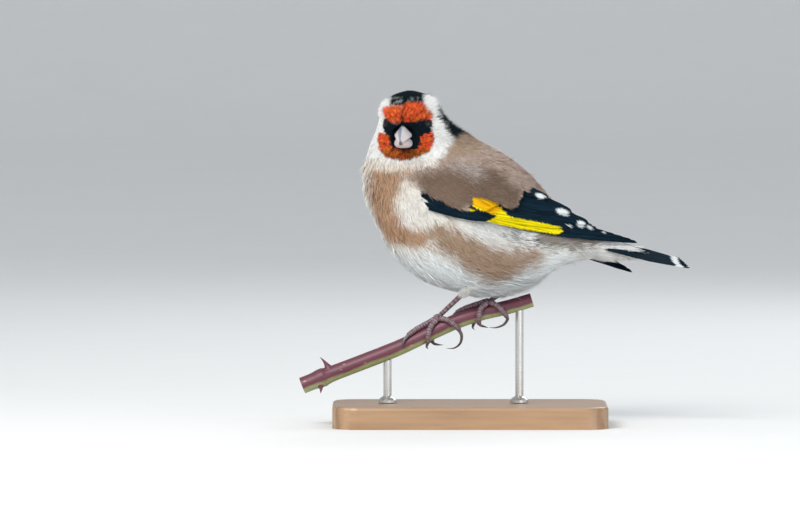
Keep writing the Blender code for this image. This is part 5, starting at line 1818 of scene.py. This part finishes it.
FEET = {"left": -10.0, "right": 7.6}
TOES = {
    "outer": ([(0, 20, 1.2), (-3.2, 52, 1.05), (-5.4, 92, 1.0), (-6.6, 132, 1.0)],
              [(-7.4, 160, 0.9), (-7.8, 184, 1.5), (-7.4, 200, 2.6)]),
    "middle": ([(0, 5, 1.3), (-4.4, 14, 1.05), (-8.2, 22, 1.0), (-11.2, 38, 1.0)],
               [(-13.0, 56, 0.9), (-14.2, 78, 0.9), (-14.7, 98, 1.0)]),
    "inner": ([(0, -20, 1.2), (-3.0, -58, 1.05), (-4.6, -102, 1.0), (-5.2, -146, 1.1)],
              [(-4.8, -172, 1.5), (-3.6, -188, 2.4), (-2.2, -196, 3.4)]),
    "hind": ([(0.4, 30, 1.3), (2.4, 62, 1.2), (4.0, 98, 1.2), (4.9, 130, 1.9)],
             [(5.0, 152, 3.4), (3.4, 168, 5.3), (0.6, 178, 5.9), (-2.0, 186, 4.9)]),
}
TOE_RADIUS = 0.95
CLAW_RADIUS = 0.62


def scaled_tube(path, radius, pads, scutes, sides=20):
    """A toe or leg bone with overlapping scutes on top and rounded pads below."""
    count = len(path)
    _run, across, _other = path_frames(path)
    share = np.linspace(0, 1, count)
    step = (share * scutes) % 1.0
    lip = 0.07 * (step**1.5) * (share < 0.98)
    pad = 0.13 * np.abs(np.sin(math.pi * share * pads)) ** 0.7 if pads else np.zeros(count)
    radii = radius * (1.0 - 0.16 * share)[:, None]
    radii = radii * (1 + np.repeat((lip + 0.7 * pad)[:, None], sides, axis=1))
    points, quads = tube(path, radii, sides)
    return points, quads, np.repeat(step, sides)


def foot_finish():
    """Purplish-grey scaly skin, darker between its scutes."""
    finish, tree, shader = new_finish("scaly_skin", 0.5, Coat_Weight=0.1, Coat_Roughness=0.4)
    stops = [(0.0, (0.030, 0.014, 0.018)), (0.20, (0.085, 0.045, 0.056))]
    stops += [(0.70, (0.175, 0.112, 0.128)), (1.0, (0.27, 0.20, 0.22))]
    tone_over(tree, shader, ramped(tree, reading(tree, "scute"), stops), 420.0, 1.0)
    cells = add_node(tree, "ShaderNodeTexVoronoi", Vector=object_place(tree), Scale=1900.0,
                     feature="DISTANCE_TO_EDGE")
    bump_from(tree, shader, cells.outputs["Distance"], 0.5, 0.12)
    return finish


def claw_finish():
    """Dark horn of the claws, paler at their root."""
    finish, tree, shader = new_finish("claw_horn", 0.32, Coat_Weight=0.3, Coat_Roughness=0.2)
    stops = [(0.0, (0.10, 0.075, 0.085)), (1.0, (0.022, 0.018, 0.020))]
    mask = tone_over(tree, shader, ramped(tree, reading(tree, "along"), stops), 800.0, 0.4)
    bump_from(tree, shader, mask, 0.15, 0.05)
    return finish


class GOLDFINCH_OT_feet(bpy.types.Operator):
    """Builds the bare feet with their scutes, and the claws"""

    bl_idname = "goldfinch.feet"
    bl_label = "Build the feet"

    def execute(self, context):
        skin, horn = foot_finish(), claw_finish()
        for side in FEET:
            heap, claws = Heap(), Heap()
            x = FEET[side]
            middle = on_perch(x, 4 if side == "left" else -30, 1.35)[0]
            ankle = np.array(THIGH_ROOTS[side])
            start = ankle + (ankle - middle) * 0.12
            keys = [start, start * 0.62 + middle * 0.38, start * 0.25 + middle * 0.75, middle]
            heap.add(*scaled_tube(along(keys, np.linspace(0, 3, 60)), TOE_RADIUS, 0, 9))
            heap.add(*self.hub(middle))
            for name, (toe, claw) in TOES.items():
                flip = -1 if side == "right" and name != "hind" else 1
                near = 0.62 if side == "right" and name == "hind" else 1.0
                keys = [on_perch(x + r, a * flip, c)[0] for r, a, c in toe]
                tips = [keys[-1]] + [on_perch(x + r, a * flip, c * near)[0] for r, a, c in claw]
                path = along(keys, np.linspace(0, len(keys) - 1, 56))
                heap.add(*scaled_tube(path, TOE_RADIUS, 4, 12))
                share = np.linspace(0, 1, 6)
                cap = keys[-1] + unit(keys[-1] - keys[-2]) * (share * 0.7)[:, None]
                points, quads = tube(cap, 0.85 * np.sqrt(1 - share**2) + 0.01, 20)
                heap.add(points, quads, np.full(len(points), 0.4))
                path = along(tips, np.linspace(0, len(tips) - 1, 44))
                share = np.linspace(0, 1, 44)
                points, quads = tube(path, CLAW_RADIUS * (1 - share**1.5) + 0.04, 16)
                claws.add(points, quads, np.repeat(share, 16))
            foot = new_piece("foot_skin_" + side, np.concatenate(heap.points), heap.quads, [skin],
                             ["foot_" + side])
            store(foot, "scute", np.concatenate(heap.tints))
            nails = new_piece("claws_" + side, np.concatenate(claws.points), claws.quads, [horn])
            store(nails, "along", np.concatenate(claws.tints))
        return {"FINISHED"}

    def hub(self, middle):
        """The knuckle where the toes meet."""
        polar, turn = ball_angles(16, 24)
        ball = np.stack([1.75 * np.sin(polar) * np.cos(turn), 1.3 * np.sin(polar) * np.sin(turn),
                         1.15 * np.cos(polar)], axis=-1)
        return middle + ball.reshape(-1, 3), grid_faces(16, 24, True), np.full(16 * 24, 0.6)


# Stand.


def wood_finish():
    """Planed pale wood with long grain under a thin lacquer."""
    finish, tree, shader = new_finish("planed_wood", 0.42, Coat_Weight=0.35, Coat_Roughness=0.25)
    place = object_place(tree)
    grain = add_node(tree, "ShaderNodeMapping", Vector=place, Scale=(9.0, 70.0, 70.0)).outputs["Vector"]
    rings = add_node(tree, "ShaderNodeTexWave", Vector=grain, wave_type="BANDS", bands_direction="Y",
                     Scale=1.1, Distortion=5.0, Detail=2.0)
    stops = [(0.0, (0.215, 0.115, 0.055)), (1.0, (0.40, 0.25, 0.135))]
    banded = ramped(tree, rings.outputs["Fac"], stops)
    warp = noise(tree, Vector=grain, Scale=1.2, Detail=4.0, Distortion=0.6)
    streak = blend(tree, warp, banded, (0.30, 0.17, 0.085))
    mask = tone_over(tree, shader, streak, 160.0, 0.35, (0.08, 1.0, 1.0))
    bump_from(tree, shader, mask, 0.18, 0.12)
    return finish


def steel_finish():
    """Steel brushed round the rods."""
    finish, tree, shader = new_finish("brushed_steel", 0.32, Metallic=1.0)
    mask = tone_over(tree, shader, (0.56, 0.55, 0.53), 420.0, 0.35, (0.15, 0.15, 6.0))
    bump_from(tree, shader, mask, 0.12, 0.04)
    return finish


class GOLDFINCH_OT_stand(bpy.types.Operator):
    """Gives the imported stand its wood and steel"""

    bl_idname = "goldfinch.stand"
    bl_label = "Finish the stand"

    def execute(self, context):
        wood, steel = wood_finish(), steel_finish()
        finishes = {"stand_base": wood, "stand_rod_front": steel, "stand_rod_rear": steel}
        for node, finish in finishes.items():
            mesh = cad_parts[node].data
            if not mesh.materials:
                raise RuntimeError(node + " has no material slot to finish")
            for k in range(len(mesh.materials)):
                mesh.materials[k] = finish
        return {"FINISHED"}


# Stage.


def aim(thing, target):
    """Points a camera or light at a target."""
    way = Vector(target) - thing.location
    thing.rotation_euler = way.to_track_quat("-Z", "Y").to_euler()


def soft_light(name, place, target, size, power, tint=(1, 1, 1)):
    """A square soft light."""
    lamp = bpy.data.lights.new(name, "AREA")
    lamp.energy = power
    lamp.size = size
    lamp.color = tint
    light = bpy.data.objects.new(name, lamp)
    light.location = place
    bpy.context.scene.collection.objects.link(light)
    aim(light, target)
    return light


PICTURE_WIDTH = 800  # in pixels
PIXELS_PER_MM = 2.75
SENSOR = 36.0
FLOOR_HALF = 12.0


class GOLDFINCH_OT_stage(bpy.types.Operator):
    """Sets the pale floor, the soft light and the camera"""

    bl_idname = "goldfinch.stage"
    bl_label = "Set the stage"

    def execute(self, context):
        setting = context.scene.goldfinch_stage
        grip = Vector(GRIP * MM)
        target = grip + Vector((-0.02545, 0.0, 0.0162))
        tilt = setting.camera_height
        camera = bpy.data.cameras.new("camera")
        camera.sensor_width = SENSOR
        frame_width = PICTURE_WIDTH / PIXELS_PER_MM * MM
        camera.lens = SENSOR * setting.camera_distance / frame_width
        camera.clip_end = 50
        view = bpy.data.objects.new("camera", camera)
        out = Vector((0.0, -math.cos(tilt), math.sin(tilt)))
        view.location = target + out * setting.camera_distance
        context.scene.collection.objects.link(view)
        aim(view, target)
        context.scene.camera = view

        bend = np.linspace(0, math.pi / 2, 24)
        depth = np.concatenate([[-9.0, -1.0], 3.4 + 1.6 * np.sin(bend), [5.0]])
        height = np.concatenate([[0.0, 0.0], 1.6 - 1.6 * np.cos(bend), [9.0]])
        rows = [[(x, y, z) for x in (-FLOOR_HALF, FLOOR_HALF)] for y, z in zip(depth, height)]
        mesh = bpy.data.meshes.new("floor")
        points = [p for row in rows for p in row]
        mesh.from_pydata(points, [], grid_faces(len(rows), 2).tolist())
        mesh.shade_smooth()
        floor = bpy.data.objects.new("floor", mesh)
        context.scene.collection.objects.link(floor)
        finish, tree, shader = new_finish("floor", 0.8)
        tone_over(tree, shader, setting.floor, 6.0, 0.03)
        mesh.materials.append(finish)

        context.scene.view_settings.view_transform = "Standard"
        world = bpy.data.worlds.new("studio") if not bpy.data.worlds else bpy.data.worlds[0]
        context.scene.world = world
        world.use_nodes = True
        backdrop = world.node_tree.nodes["Background"]
        backdrop.inputs["Color"].default_value = (0.86, 0.90, 0.95, 1)
        backdrop.inputs["Strength"].default_value = 0.82
        middle = grip + Vector((-0.01, 0, 0.035))
        soft_light("key", (-0.45, -0.75, 0.75), middle, 0.55, setting.key, (1.0, 0.985, 0.96))
        soft_light("fill", (0.75, -0.85, 0.10), middle, 0.7, setting.key * 0.55, (0.93, 0.96, 1.0))
        soft_light("rim", (0.35, 0.75, 0.65), middle, 0.5, setting.key * 0.22, (0.95, 0.98, 1.0))
        return {"FINISHED"}


STEPS = [
    GOLDFINCH_OT_stage,
    GOLDFINCH_OT_skin,
    GOLDFINCH_OT_coat,
    GOLDFINCH_OT_wings,
    GOLDFINCH_OT_tail,
    GOLDFINCH_OT_eyes,
    GOLDFINCH_OT_bill,
    GOLDFINCH_OT_feet,
    GOLDFINCH_OT_perch,
    GOLDFINCH_OT_stand,
]


class GOLDFINCH_PT_panel(bpy.types.Panel):
    """The goldfinch's pieces and settings in the sidebar"""

    bl_idname = "GOLDFINCH_PT_panel"
    bl_label = "Goldfinch"
    bl_space_type = "VIEW_3D"
    bl_region_type = "UI"
    bl_category = "Goldfinch"

    def draw(self, context):
        for step in STEPS:
            self.layout.operator(step.bl_idname, text=step.bl_label)
        for name in ("goldfinch_plumage", "goldfinch_perch", "goldfinch_stage"):
            group = getattr(context.scene, name)
            box = self.layout.box()
            for key in group.__annotations__:
                box.prop(group, key)


SETTINGS = {
    "goldfinch_plumage": GoldfinchPlumage,
    "goldfinch_perch": GoldfinchPerch,
    "goldfinch_stage": GoldfinchStage,
}


def register():
    """Makes the settings, operators and panel known to Blender."""
    for group in [*SETTINGS.values(), *STEPS, GOLDFINCH_PT_panel]:
        bpy.utils.register_class(group)
    for name, group in SETTINGS.items():
        setattr(bpy.types.Scene, name, bpy.props.PointerProperty(type=group))


def unregister():
    """Takes them away again."""
    for name in SETTINGS:
        delattr(bpy.types.Scene, name)
    for group in [GOLDFINCH_PT_panel, *reversed(STEPS), *reversed(SETTINGS.values())]:
        bpy.utils.unregister_class(group)


def main():
    """Builds every piece in order."""
    register()
    for step in STEPS:
        group, name = step.bl_idname.split(".")
        getattr(getattr(bpy.ops, group), name)()


if __name__ == "__main__":
    main()
